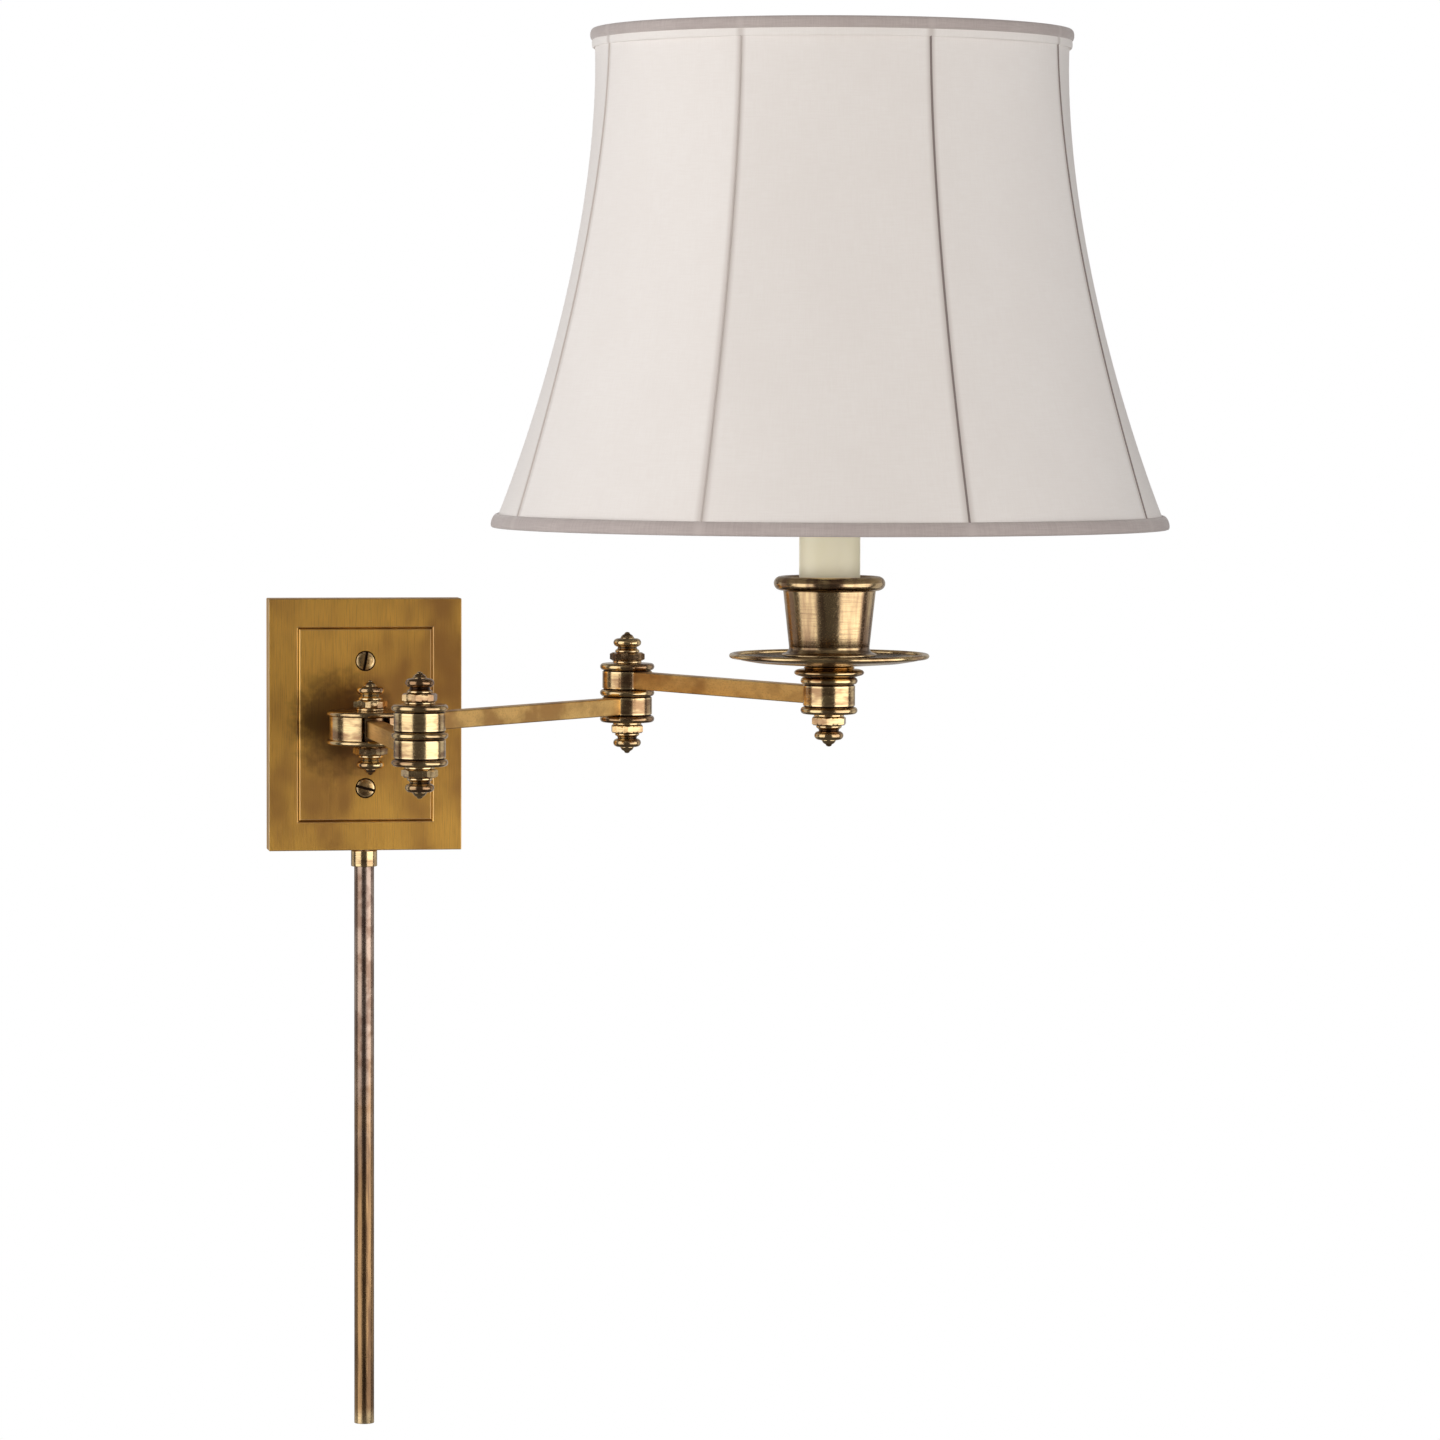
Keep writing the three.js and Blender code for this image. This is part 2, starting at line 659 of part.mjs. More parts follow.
// The post, its hardware and the stem are fixed; the drum turns round them.
const shoulderFixed = new THREE.Group();
shoulderFixed.position.set(0, -SHOULDER_OUT, 0);
lamp.add(shoulderFixed);
piece(shoulderFixed, "wall_stem", wallStem(), brass());
const drumFace = DRUM_HALF + DRUM_FLANGE_HALF;
piece(shoulderFixed, "shoulder_post", rod(-drumFace, drumFace, [0]), brass());
rodEnd(shoulderFixed, "shoulder", "upper", drumFace, -22);
rodEnd(shoulderFixed, "shoulder", "lower", -drumFace, 14);

// First arm.
const arm1 = new THREE.Group();
arm1.position.set(0, -SHOULDER_OUT, 0);
arm1.rotation.z = rad(ARM_1_ANGLE);
lamp.add(arm1);
piece(arm1, "shoulder_drum", shoulderDrum(), brass());
piece(arm1, "arm_1_tube", armTube(DRUM_SEAT_RADIUS - 3, ARM_LENGTH - ARM_IN_WALL), brass());
const elbow = new THREE.Group();
elbow.position.set(0, -ARM_LENGTH, 0);
arm1.add(elbow);
piece(elbow, "elbow_barrel_lower", barrel(LEVEL_STEP, "top", -1), brass());
piece(elbow, "elbow_rod", rod(-BARREL_FACE, LEVEL_STEP + BARREL_FACE, [0, LEVEL_STEP]), brass());
rodEnd(elbow, "elbow", "upper", LEVEL_STEP + BARREL_FACE, -20);
rodEnd(elbow, "elbow", "lower", -BARREL_FACE, 15);

// Second arm, one level up.
const arm2 = new THREE.Group();
arm2.position.set(0, 0, LEVEL_STEP);
arm2.rotation.z = rad(ARM_2_ANGLE - ARM_1_ANGLE);
elbow.add(arm2);
piece(arm2, "elbow_barrel_upper", barrel(LEVEL_STEP, "bottom", 1), brass());
piece(arm2, "arm_2_tube", armTube(ARM_IN_WALL, ARM_LENGTH - ARM_IN_WALL), brass());
const wrist = new THREE.Group();
wrist.position.set(0, -ARM_LENGTH, 0);
arm2.add(wrist);
piece(wrist, "wrist_barrel_lower", barrel(LEVEL_STEP, "top", -1), brass());
piece(wrist, "wrist_rod", rod(-BARREL_FACE, LEVEL_STEP + BARREL_FACE, [0, LEVEL_STEP]), brass());
rodEnd(wrist, "wrist", "upper", LEVEL_STEP + BARREL_FACE, -4);
rodEnd(wrist, "wrist", "lower", -BARREL_FACE, -21);

// Third arm, another level up.
const arm3 = new THREE.Group();
arm3.position.set(0, 0, LEVEL_STEP);
arm3.rotation.z = rad(ARM_3_ANGLE - ARM_2_ANGLE);
wrist.add(arm3);
piece(arm3, "wrist_barrel_upper", barrel(LEVEL_STEP, "bottom", 1), brass());
piece(arm3, "arm_3_tube", armTube(ARM_IN_WALL, ARM_LENGTH - ARM_IN_WALL), brass());

// Head: its own frame stands square to the wall, with z = 0 at the barrel's upper flange centre.
const head = new THREE.Group();
head.position.set(0, -ARM_LENGTH, 0);
arm3.add(head);
piece(head, "head_barrel", barrel(HEAD_BARREL_HEIGHT, "none", -1), brass());
const headFoot = -HEAD_BARREL_HEIGHT / 2 - FLANGE_HALF;
rodEnd(head, "head", "lower", headFoot, 17);

const stack = new THREE.Group();
stack.position.z = HEAD_BARREL_HEIGHT / 2;
stack.rotation.z = rad(-ARM_3_ANGLE);
head.add(stack);
const discFoot = FLANGE_HALF + FACE_GAP;
const dishFoot = discFoot + DISC_HEIGHT + FACE_GAP;
const cupFoot = dishFoot + DISH_SEAT + FACE_GAP;
const sleeveFoot = cupFoot + 2 + FACE_GAP;
const socketFoot = SLEEVE_TOP + FACE_GAP;
const pipeFoot = -HEAD_BARREL_HEIGHT - FLANGE_HALF - ROD_PAST_FACE;
piece(stack, "head_pipe", tube(ROD_RADIUS, ROD_BORE, pipeFoot, socketFoot + 12, SMALL_SIDES), brass());
piece(stack, "head_disc", headDisc(discFoot), brass());
piece(stack, "drip_dish", dripDish(dishFoot, DISH_RIM_HEIGHT), brass());
piece(stack, "candle_cup", candleCup(cupFoot, CUP_RIM_HEIGHT), brass());
piece(stack, "cup_locknut", hexNut().translate([0, 0, sleeveFoot]), steel());
piece(stack, "candle_sleeve", tube(SLEEVE_RADIUS, SLEEVE_RADIUS - 1.2, sleeveFoot, SLEEVE_TOP), ivory());
piece(stack, "lamp_socket", lampSocket(socketFoot), black());
const bulbFoot = socketFoot + 20;
piece(stack, "bulb_base", bulbBase(bulbFoot), steel());
piece(stack, "bulb_glass", bulbGlass(bulbFoot + BULB_BASE_HEIGHT + FACE_GAP), glass());

const shade = new THREE.Group();
shade.rotation.z = rad(SEAM_TURN);
stack.add(shade);
const ringFoot = socketFoot + SHOULDER_TOP + FACE_GAP;
const ringNutFoot = ringFoot + FITTER_RING_THICK + GAP;
const ringNut = tube(RING_NUT_RADIUS, FITTER_RING_HOLE, ringNutFoot, ringNutFoot + RING_NUT_THICK);
piece(shade, "shade_frame", shadeFrame(), steel());
piece(shade, "shade_fitter", shadeFitter(ringFoot), steel());
piece(shade, "shade_ring_nut", ringNut, brass());
piece(shade, "shade_cloth", bellWall(0, SHADE_HEIGHT, 0, CLOTH, BELL_SHARES), cloth());
const liningTop = SHADE_HEIGHT - LINING_HEAD;
const lining = bellWall(LINING_FOOT, liningTop, LINING_OFFSET, LINING_THICK, BELL_SHARES);
piece(shade, "shade_lining", lining, cloth());
const trim = (bottom, top) => bellWall(bottom, top, -GAP - TRIM_THICK, TRIM_THICK, EDGE_SHARES);
piece(shade, "bottom_trim", trim(0, BOTTOM_TRIM_HEIGHT), trimCloth());
piece(shade, "top_trim", trim(SHADE_HEIGHT - TOP_TRIM_HEIGHT, SHADE_HEIGHT), trimCloth());

export default lamp;
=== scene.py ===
# %% [markdown]
# # A swing arm wall lamp in antique brass
# The lamp is a wall plate, three square-tube arms that fold on turned barrel joints, a candle with a drip dish,
# and a bell-shaped cloth shade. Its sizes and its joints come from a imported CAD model. This lesson makes the
# fine surfaces around that frame: turned brass, a brushed plate, and sewn cloth.
# Everything is modelled in millimetres and brought to metres as the last step of each piece.

# %% Load the frame
import json
import math

import bmesh
import bpy
import numpy as np
from mathutils import Matrix, Vector
from mathutils.geometry import interpolate_bezier


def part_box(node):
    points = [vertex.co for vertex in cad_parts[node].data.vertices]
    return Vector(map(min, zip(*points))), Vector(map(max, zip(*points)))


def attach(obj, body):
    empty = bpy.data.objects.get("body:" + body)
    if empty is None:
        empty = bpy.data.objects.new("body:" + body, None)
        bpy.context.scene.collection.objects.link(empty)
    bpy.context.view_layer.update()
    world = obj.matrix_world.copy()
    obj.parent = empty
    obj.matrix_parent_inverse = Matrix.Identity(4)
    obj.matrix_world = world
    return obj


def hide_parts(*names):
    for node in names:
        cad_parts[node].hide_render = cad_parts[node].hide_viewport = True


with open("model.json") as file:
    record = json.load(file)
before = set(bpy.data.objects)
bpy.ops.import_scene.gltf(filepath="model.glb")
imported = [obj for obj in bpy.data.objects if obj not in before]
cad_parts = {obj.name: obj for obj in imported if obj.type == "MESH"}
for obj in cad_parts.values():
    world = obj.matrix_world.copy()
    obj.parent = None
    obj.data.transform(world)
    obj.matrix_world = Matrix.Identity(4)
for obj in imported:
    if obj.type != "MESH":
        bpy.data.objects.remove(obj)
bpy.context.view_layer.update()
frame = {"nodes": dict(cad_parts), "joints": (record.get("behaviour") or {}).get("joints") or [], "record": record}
MM = 0.001
print("nodes in the frame:", len(frame["nodes"]))

# %% [markdown]
# Each CAD node rides on one body and has one material slot in the record. A new piece that stands for a node
# takes its body from there, so no list of names has to be kept twice.

# %% Bodies and slots of the nodes
record = frame["record"]
BODY_OF = {n: body for body, names in record["behaviour"]["bodies"].items() for n in names}
JOINT_AT = {joint["name"]: Vector(joint["pos_m"]) for joint in frame["joints"]}
print("bodies:", sorted(set(BODY_OF.values())))

# %% [markdown]
# The camera stands in front of the lamp, a little to the left and a little above the arms, with a long lens.
# It could be aimed with a constraint, but three plain turns are easier to read: pan, tilt and a slight roll.

# %% Camera
CAMERA_PLACE = (-0.2825, -2.7591, 0.1665)
CAMERA_PAN = 9.375
CAMERA_TILT = -3.400
CAMERA_ROLL = 0.200
CAMERA_LENS = 145.1

camera_data = bpy.data.cameras.new("camera")
camera_data.lens = CAMERA_LENS
camera_data.sensor_width = 36.0
camera = bpy.data.objects.new("camera", camera_data)
bpy.context.scene.collection.objects.link(camera)
camera.matrix_world = (
    Matrix.Translation(CAMERA_PLACE)
    @ Matrix.Rotation(math.radians(-CAMERA_PAN), 4, "Z")
    @ Matrix.Rotation(math.radians(90 + CAMERA_TILT), 4, "X")
    @ Matrix.Rotation(math.radians(CAMERA_ROLL), 4, "Z")
)
bpy.context.scene.camera = camera
print("camera distance:", round(Vector(CAMERA_PLACE).length, 2), "m")

# %% [markdown]
# Polished brass shows the room more than its own colour. Two tall softboxes stand left and right of the camera
# with a dark space between them, so that every round piece gets two bright bands round a dark middle. Weak
# panels further round keep the flat arms from going black. Cloth would look flat in that light, so the shade
# and the candle have four soft lights of their own. Light linking, further down, keeps the two sets apart.

# %% Lights
LOOK_AT = Vector((0.09, -0.15, 0.02))


def softbox(name, angle, width, height, strength, distance=1.6, rise=0.1, colour=(1, 1, 1)):
    """An upright area light, at an angle in degrees to the right of the camera as seen from the lamp."""
    turn = math.radians(angle - CAMERA_PAN)
    data = bpy.data.lights.new(name, "AREA")
    data.shape = "RECTANGLE"
    data.size, data.size_y = width, height
    data.energy = strength * width * height
    data.color = colour
    light = bpy.data.objects.new(name, data)
    offset = Vector((math.sin(turn) * distance, -math.cos(turn) * distance, rise))
    light.location = LOOK_AT + offset
    light.rotation_euler = (-offset).to_track_quat("-Z", "Y").to_euler()
    light.visible_camera = False
    bpy.context.scene.collection.objects.link(light)
    return light


METAL_LIGHTS = [
    softbox("left_softbox", -56, 1.55, 2.4, 4.9),
    softbox("right_softbox", 60, 2.0, 2.0, 6.8),
    softbox("left_panel", -118, 0.9, 2.0, 1.6),
    softbox("right_panel", 122, 0.9, 2.0, 1.8),
    softbox("back_panel", 180, 2.2, 2.2, 1.2),
]
CLOTH_LIGHTS = [
    softbox("cloth_key", -76, 1.6, 2.4, 6.3, colour=(1, 0.985, 0.98)),
    softbox("cloth_front", 0, 1.6, 2.4, 4.1, colour=(1, 0.95, 0.905)),
    softbox("cloth_back", 180, 1.8, 2.2, 3.0),
    softbox("cloth_fill", 68, 1.6, 2.4, 3.3, colour=(1, 0.985, 0.98)),
]
print("lights for the metal:", len(METAL_LIGHTS), "and for the cloth:", len(CLOTH_LIGHTS))

# %% [markdown]
# The world is bright white where the camera looks straight at it, and dim for everything that lights or
# mirrors in the lamp. The floor is a plain pale disc, far below, as under a lamp on a wall.

# %% World and floor
FLOOR_DROP = 1.35
FLOOR_RADIUS = 4.0
AMBIENT = 0.09
FLOOR_GLOW = 0.7  # a far floor gets little light, so it is given some of its own

world = bpy.data.worlds.new("studio")
bpy.context.scene.world = world
world.use_nodes = True
sky = world.node_tree
sky.nodes.clear()
path = sky.nodes.new("ShaderNodeLightPath")
seen = sky.nodes.new("ShaderNodeBackground")
felt = sky.nodes.new("ShaderNodeBackground")
felt.inputs["Strength"].default_value = AMBIENT
choice = sky.nodes.new("ShaderNodeMixShader")
out = sky.nodes.new("ShaderNodeOutputWorld")
seen.inputs["Color"].default_value = (1, 1, 1, 1)
felt.inputs["Color"].default_value = (1, 0.92, 0.86, 1)
sky.links.new(path.outputs["Is Camera Ray"], choice.inputs[0])
sky.links.new(felt.outputs[0], choice.inputs[1])
sky.links.new(seen.outputs[0], choice.inputs[2])
sky.links.new(choice.outputs[0], out.inputs["Surface"])

bm = bmesh.new()
bmesh.ops.create_circle(bm, cap_ends=True, segments=96, radius=FLOOR_RADIUS)
bmesh.ops.translate(bm, verts=bm.verts, vec=(0, 0, -FLOOR_DROP))
floor_mesh = bpy.data.meshes.new("floor")
bm.to_mesh(floor_mesh)
bm.free()
floor = bpy.data.objects.new("floor", floor_mesh)
bpy.context.scene.collection.objects.link(floor)
floor_paint = bpy.data.materials.new("pale_floor")
floor_paint.use_nodes = True
floor_shader = floor_paint.node_tree.nodes["Principled BSDF"]
floor_shader.inputs["Base Color"].default_value = (0.9, 0.9, 0.9, 1)
floor_shader.inputs["Roughness"].default_value = 0.9
floor_shader.inputs["Emission Color"].default_value = (1, 0.99, 0.98, 1)
floor_shader.inputs["Emission Strength"].default_value = FLOOR_GLOW
floor_mesh.materials.append(floor_paint)
floor.visible_glossy = False  # brass would mirror it
floor.visible_diffuse = False
bpy.context.scene.view_settings.view_transform = "Standard"
print("floor at z =", -FLOOR_DROP)

# %% [markdown]
# ## Tools for the finishes
# A material is a small tree of nodes. These helpers keep each tree short: one adds a node and fills its inputs,
# one mixes two colours, and one stretches a grey value between two limits.

# %% Node helpers


def add(tree, kind, inputs=(), **settings):
    """Adds a shader node. An input that is given a socket is linked, and any other value is set on it."""
    made = tree.nodes.new("ShaderNode" + kind)
    for name, value in settings.items():
        setattr(made, name, value)
    for name, value in dict(inputs).items():
        if isinstance(value, bpy.types.NodeSocket):
            tree.links.new(value, made.inputs[name])
        else:
            made.inputs[name].default_value = value
    return made


def blended(tree, share, first, second):
    """The colour between first and second, by a share from 0 to 1."""
    mix = add(tree, "Mix", {0: share}, data_type="RGBA")
    for place, colour in ((6, first), (7, second)):
        if isinstance(colour, bpy.types.NodeSocket):
            tree.links.new(colour, mix.inputs[place])
        else:
            mix.inputs[place].default_value = (*colour, 1)
    return mix.outputs[2]


def stretched(tree, value, low, high, to_low=0.0, to_high=1.0):
    """A value brought from low..high to to_low..to_high, and held there beyond."""
    limits = {"Value": value, "From Min": low, "From Max": high, "To Min": to_low, "To Max": to_high}
    return add(tree, "MapRange", limits, interpolation_type="SMOOTHSTEP").outputs[0]


def summed(tree, first, second):
    return add(tree, "Math", {0: first, 1: second}, operation="ADD").outputs[0]


def noise(tree, vector, scale, detail=3.0):
    found = add(tree, "TexNoise", {"Vector": vector, "Scale": scale, "Detail": detail, "Roughness": 0.6})
    return found.outputs["Fac"]


def new_material(name):
    """A material with one Principled shader: its node tree and that shader."""
    made = bpy.data.materials.new(name)
    made.use_nodes = True
    return made, made.node_tree, made.node_tree.nodes["Principled BSDF"]


# %% [markdown]
# ## Antique brass
# The real finish is brass that was darkened chemically and then rubbed back. Dark patina stays in the grooves,
# crests are rubbed bright, and the abrasive leaves fine lines: round the turned pieces, along the tubes, up
# and down the plate. Every piece carries a "hollow" value at its vertices, made further down, that says how
# deep in a groove each point lies. The lines are noise stretched far along one direction, used three times:
# in the colour, in the roughness and as a very shallow bump.

# %% Brass finishes
SOOT = (0.030, 0.016, 0.010)
RUBBED = (0.90, 0.68, 0.38)


def brass(name, gold, brown, lines, turn=0.0, rough=0.2, patches=(45, 45, 45), line_depth=0.00002, wear=0.45):
    """Antique brass. lines and patches say how fine each pattern is along X, Y and Z, before its turn about Z."""
    made, tree, shader = new_material(name)
    own = add(tree, "TexCoord").outputs["Object"]
    along = add(tree, "Mapping", {"Vector": own, "Rotation": (0, 0, turn), "Scale": lines})
    scratch = noise(tree, along.outputs[0], 1.0, 4.0)
    spread = add(tree, "Mapping", {"Vector": own, "Rotation": (0, 0, turn), "Scale": patches})
    cloudy = noise(tree, spread.outputs[0], 1.0)
    grit = noise(tree, own, 1400.0, 2.0)
    hollow = add(tree, "Attribute", attribute_name="hollow").outputs["Fac"]
    uneven = summed(tree, hollow, stretched(tree, cloudy, 0.3, 0.7, -0.02, 0.02))
    colour = blended(tree, stretched(tree, cloudy, 0.40, 0.64), gold, brown)
    colour = blended(tree, stretched(tree, scratch, 0.45, 0.72, 0.0, wear), colour, brown)
    colour = blended(tree, stretched(tree, hollow, 0.42, 0.26, 0.0, 0.85), colour, RUBBED)
    colour = blended(tree, stretched(tree, uneven, 0.508, 0.60), colour, SOOT)
    tree.links.new(colour, shader.inputs["Base Color"])
    dull = summed(tree, stretched(tree, uneven, 0.53, 0.70, 0.0, 0.35), rough)
    dull = summed(tree, stretched(tree, scratch, 0.3, 0.7, -0.03, 0.07), dull)
    tree.links.new(summed(tree, stretched(tree, grit, 0.45, 0.7, 0.0, 0.08), dull), shader.inputs["Roughness"])
    height = summed(tree, scratch, stretched(tree, grit, 0.5, 0.8, 0.0, -0.4))
    bump = add(tree, "Bump", {"Height": height, "Strength": 0.6, "Distance": line_depth})
    tree.links.new(bump.outputs[0], shader.inputs["Normal"])
    shader.inputs["Metallic"].default_value = 1.0
    return made, tree, shader


turned_brass = brass("antique_turned", (0.73, 0.54, 0.28), (0.32, 0.19, 0.10), (50, 50, 2400), rough=0.15,
                     patches=(60, 60, 160))[0]
plate_brass = brass("antique_plate", (0.96, 0.54, 0.115), (0.52, 0.26, 0.075), (2600, 2600, 70), rough=0.40,
                    patches=(24, 24, 14), line_depth=0.00004, wear=0.6)[0]
cup_brass = brass("antique_cup", (0.62, 0.45, 0.24), (0.27, 0.165, 0.095), (50, 50, 1800), rough=0.17,
                  patches=(110, 110, 14), wear=0.6)[0]
screw_brass = brass("antique_screw", (0.52, 0.34, 0.15), (0.24, 0.14, 0.065), (700, 700, 700), rough=0.26)[0]
print("brass finishes:", turned_brass.name, plate_brass.name, cup_brass.name, screw_brass.name)

# %% [markdown]
# The shoulder drum's shadow on the plate is painted into the plate's colour, as a dark patch beside the
# drum. The distance from the middle of that patch, taken straight from the object's coordinates, mixes the painted
# shadow in.

# %% Painted shadow behind the shoulder
SHADOW_MIDDLE = (-0.011, -0.013, 0.0)
SHADOW_REACH, SHADOW_CORE = 0.030, 0.012


def colour_laid_over(tree, share, colour):
    """Lays a share of another colour over the one that a brass finish has."""
    base = tree.nodes["Principled BSDF"].inputs["Base Color"]
    tree.links.new(blended(tree, share, base.links[0].from_socket, colour), base)


tree = plate_brass.node_tree
own = add(tree, "TexCoord").outputs["Object"]
apart = add(tree, "VectorMath", {0: own, 1: SHADOW_MIDDLE}, operation="DISTANCE").outputs["Value"]
frayed = summed(tree, apart, stretched(tree, noise(tree, own, 120.0), 0.3, 0.7, -0.004, 0.004))
# painted shadow: a dark brown laid over the plate, strongest next to the drum
colour_laid_over(tree, stretched(tree, frayed, SHADOW_REACH, SHADOW_CORE, 0.0, 0.78), (0.14, 0.07, 0.03))
# how far the painted shadow of the drum reaches
print("dark skin reaches", SHADOW_REACH / MM, "mm")

# %% [markdown]
# The cord tube is a cool brown-grey in its upper half, and lower down the warm brass colour shows. The
# change follows the height, with the same noise over it.

# %% Cord tube finish
TUBE_TOP, TUBE_BOTTOM = -0.12, -0.24
tube_brass, tree = brass("antique_tube", (0.36, 0.215, 0.10), (0.15, 0.085, 0.045), (1500, 1500, 30),
                         rough=0.25, patches=(200, 200, 22), wear=0.6)[:2]
own = add(tree, "TexCoord").outputs["Object"]
height = add(tree, "SeparateXYZ", {0: own}).outputs[2]
cool = blended(tree, stretched(tree, noise(tree, own, 90.0), 0.4, 0.6), (0.46, 0.35, 0.29), (0.24, 0.16, 0.13))
colour_laid_over(tree, stretched(tree, height, TUBE_BOTTOM, TUBE_TOP, 0.0, 0.75), cool)
print("tube finish changes between z =", TUBE_BOTTOM, "and", TUBE_TOP)

# %% [markdown]
# ## Plain finishes
# Steel for what hides inside, ivory for the candle, black for the socket, and milky glass for the bulb. Each
# has a little noise of its own, because no real surface is perfectly even.

# %% Plain finishes


def plain(name, first, second, rough, metal=0.0, scale=120.0, depth=0.00003):
    """A finish that wanders between two close colours, with a slightly uneven surface."""
    made, tree, shader = new_material(name)
    own = add(tree, "TexCoord").outputs["Object"]
    cloudy = noise(tree, own, scale)
    tree.links.new(blended(tree, stretched(tree, cloudy, 0.35, 0.65), first, second), shader.inputs["Base Color"])
    tree.links.new(stretched(tree, cloudy, 0.3, 0.7, rough - 0.04, rough + 0.06), shader.inputs["Roughness"])
    bump = add(tree, "Bump", {"Height": noise(tree, own, scale * 8), "Strength": 0.4, "Distance": depth})
    tree.links.new(bump.outputs[0], shader.inputs["Normal"])
    shader.inputs["Metallic"].default_value = metal
    return made, shader


steel = plain("zinc_plate", (0.62, 0.63, 0.64), (0.50, 0.50, 0.50), 0.34, metal=1.0)[0]
inner_brass = plain("inner_brass", (0.58, 0.37, 0.14), (0.38, 0.22, 0.09), 0.35, metal=1.0)[0]
socket_black = plain("black_socket", (0.012, 0.012, 0.013), (0.02, 0.02, 0.02), 0.3)[0]
ivory, ivory_shader = plain("ivory_candle", (0.95, 0.89, 0.67), (0.92, 0.86, 0.63), 0.38, scale=60.0)
ivory_shader.inputs["Emission Color"].default_value = (0.95, 0.88, 0.66, 1)
ivory_shader.inputs["Emission Strength"].default_value = 0.15  # a painted glow: the sleeve gives off a little light of its own, to stay bright under the shade
milky_glass, glass_shader = plain("milky_glass", (0.93, 0.92, 0.88), (0.90, 0.89, 0.86), 0.30, scale=30.0)
glass_shader.inputs["Subsurface Weight"].default_value = 0.3
glass_shader.inputs["Coat Weight"].default_value = 0.5
print("plain finishes:", [m.name for m in (steel, inner_brass, socket_black, ivory, milky_glass)])

# %% [markdown]
# ## Tools for the shapes
# Most pieces were turned on a lathe, so most are made the same way here. A profile is a short chain of points,
# each a radius and a height, and a corner may carry a third number, which is how far it is eased. The chain
# gets its eased corners from a vertex bevel, is divided where it runs straight, and is then spun about Z.

# %% Turning


def arc(centre, radii, start, end, steps=8):
    """Points of an ellipse in the profile's plane, between two angles in degrees: 0 is outwards, 90 is up."""
    angles = [math.radians(start + (end - start) * i / steps) for i in range(steps + 1)]
    return [(centre[0] + radii[0] * math.cos(a), centre[1] + radii[1] * math.sin(a)) for a in angles]


def chain(points, closed):
    """A bmesh holding one profile, eased where its points ask for it."""
    bm = bmesh.new()
    corners = [bm.verts.new((p[0], 0, p[1])) for p in points]
    for a, b in zip(corners, corners[1:] + (corners[:1] if closed else [])):
        bm.edges.new((a, b))
    for ease in sorted({p[2] for p in points if len(p) == 3}):
        eased = [v for v, p in zip(corners, points) if len(p) == 3 and p[2] == ease]
        bmesh.ops.bevel(
            bm, geom=eased, offset=ease, offset_type="OFFSET", segments=3, profile=0.5,
            affect="VERTICES", material=-1, clamp_overlap=True,
        )
    return bm


def spun(points, closed=False, steps=64, longest=1.6, angle=360.0):
    """A profile turned about Z. Straight runs are divided to at most longest, so that patina can fade along them."""
    bm = chain(points, closed)
    for edge in list(bm.edges):
        pieces = math.ceil(edge.calc_length() / longest)
        if pieces > 1:
            bmesh.ops.subdivide_edges(bm, edges=[edge], cuts=pieces - 1)
    whole = angle == 360.0
    bmesh.ops.spin(
        bm, geom=bm.verts[:] + bm.edges[:], axis=(0, 0, 1), cent=(0, 0, 0), dvec=(0, 0, 0),
        angle=math.radians(angle), steps=steps, use_merge=whole, use_normal_flip=False, use_duplicate=False,
    )
    bmesh.ops.remove_doubles(bm, verts=bm.verts, dist=1e-4)
    if not whole:
        bmesh.ops.holes_fill(bm, edges=[e for e in bm.edges if e.is_boundary])
    bmesh.ops.recalc_face_normals(bm, faces=bm.faces)
    return bm


def joined(*parts):
    """Several bmeshes as one."""
    whole = bmesh.new()
    for part in parts:
        mesh = bpy.data.meshes.new("part")
        part.to_mesh(mesh)
        part.free()
        whole.from_mesh(mesh)
        bpy.data.meshes.remove(mesh)
    return whole


test = spun([(0, 0), (5, 0, 0.5), (5, 3, 0.5), (0, 3)])
print("a turned button:", len(test.faces), "faces, closed:", all(len(e.link_faces) == 2 for e in test.edges))
test.free()

# %% [markdown]
# Patina gathers where the surface is hollow. At each vertex the neighbours either rise above the surface, as
# in a groove, or fall away, as on a crest. Their lean, divided by their distance, is a curvature. It is
# squeezed into 0..1 with 0.5 for a flat place, softened over the neighbours, and kept as an attribute.

# %% Hollows and crests


def mark_hollows(mesh, strength=0.9, soften=4):
    """Writes the attribute "hollow" to a mesh in millimetres: over 0.5 in a groove, under 0.5 on a crest."""
    count = len(mesh.vertices)
    places = np.zeros(count * 3)
    normals = np.zeros(count * 3)
    mesh.vertices.foreach_get("co", places)
    mesh.vertex_normals.foreach_get("vector", normals)
    places = places.reshape(-1, 3)
    normals = normals.reshape(-1, 3)
    ends = np.zeros(len(mesh.edges) * 2, dtype=int)
    mesh.edges.foreach_get("vertices", ends)
    first, second = ends.reshape(-1, 2).T
    step = places[second] - places[first]
    length = np.maximum((step**2).sum(1), 1e-6)
    neighbours = np.maximum(np.bincount(first, minlength=count) + np.bincount(second, minlength=count), 1)
    lean = np.bincount(first, (step * normals[first]).sum(1) / length, count)
    lean += np.bincount(second, -(step * normals[second]).sum(1) / length, count)
    hollow = 0.5 + 0.5 * np.tanh(strength * lean / neighbours)
    for _ in range(soften):
        around = np.bincount(first, hollow[second], count) + np.bincount(second, hollow[first], count)
        hollow = (hollow + around / neighbours) / 2
    mesh.attributes.new("hollow", "FLOAT", "POINT").data.foreach_set("value", hollow.astype(np.float32))


# %% [markdown]
# Every piece ends the same way: it goes to its place, gets its finish, and is tied to the body that it moves
# with. Edges sharper than a limit stay crisp and the rest is shaded smooth. The object itself stays at the
# origin, with its place in its mesh, as the CAD nodes have it.

# %% Finishing a piece


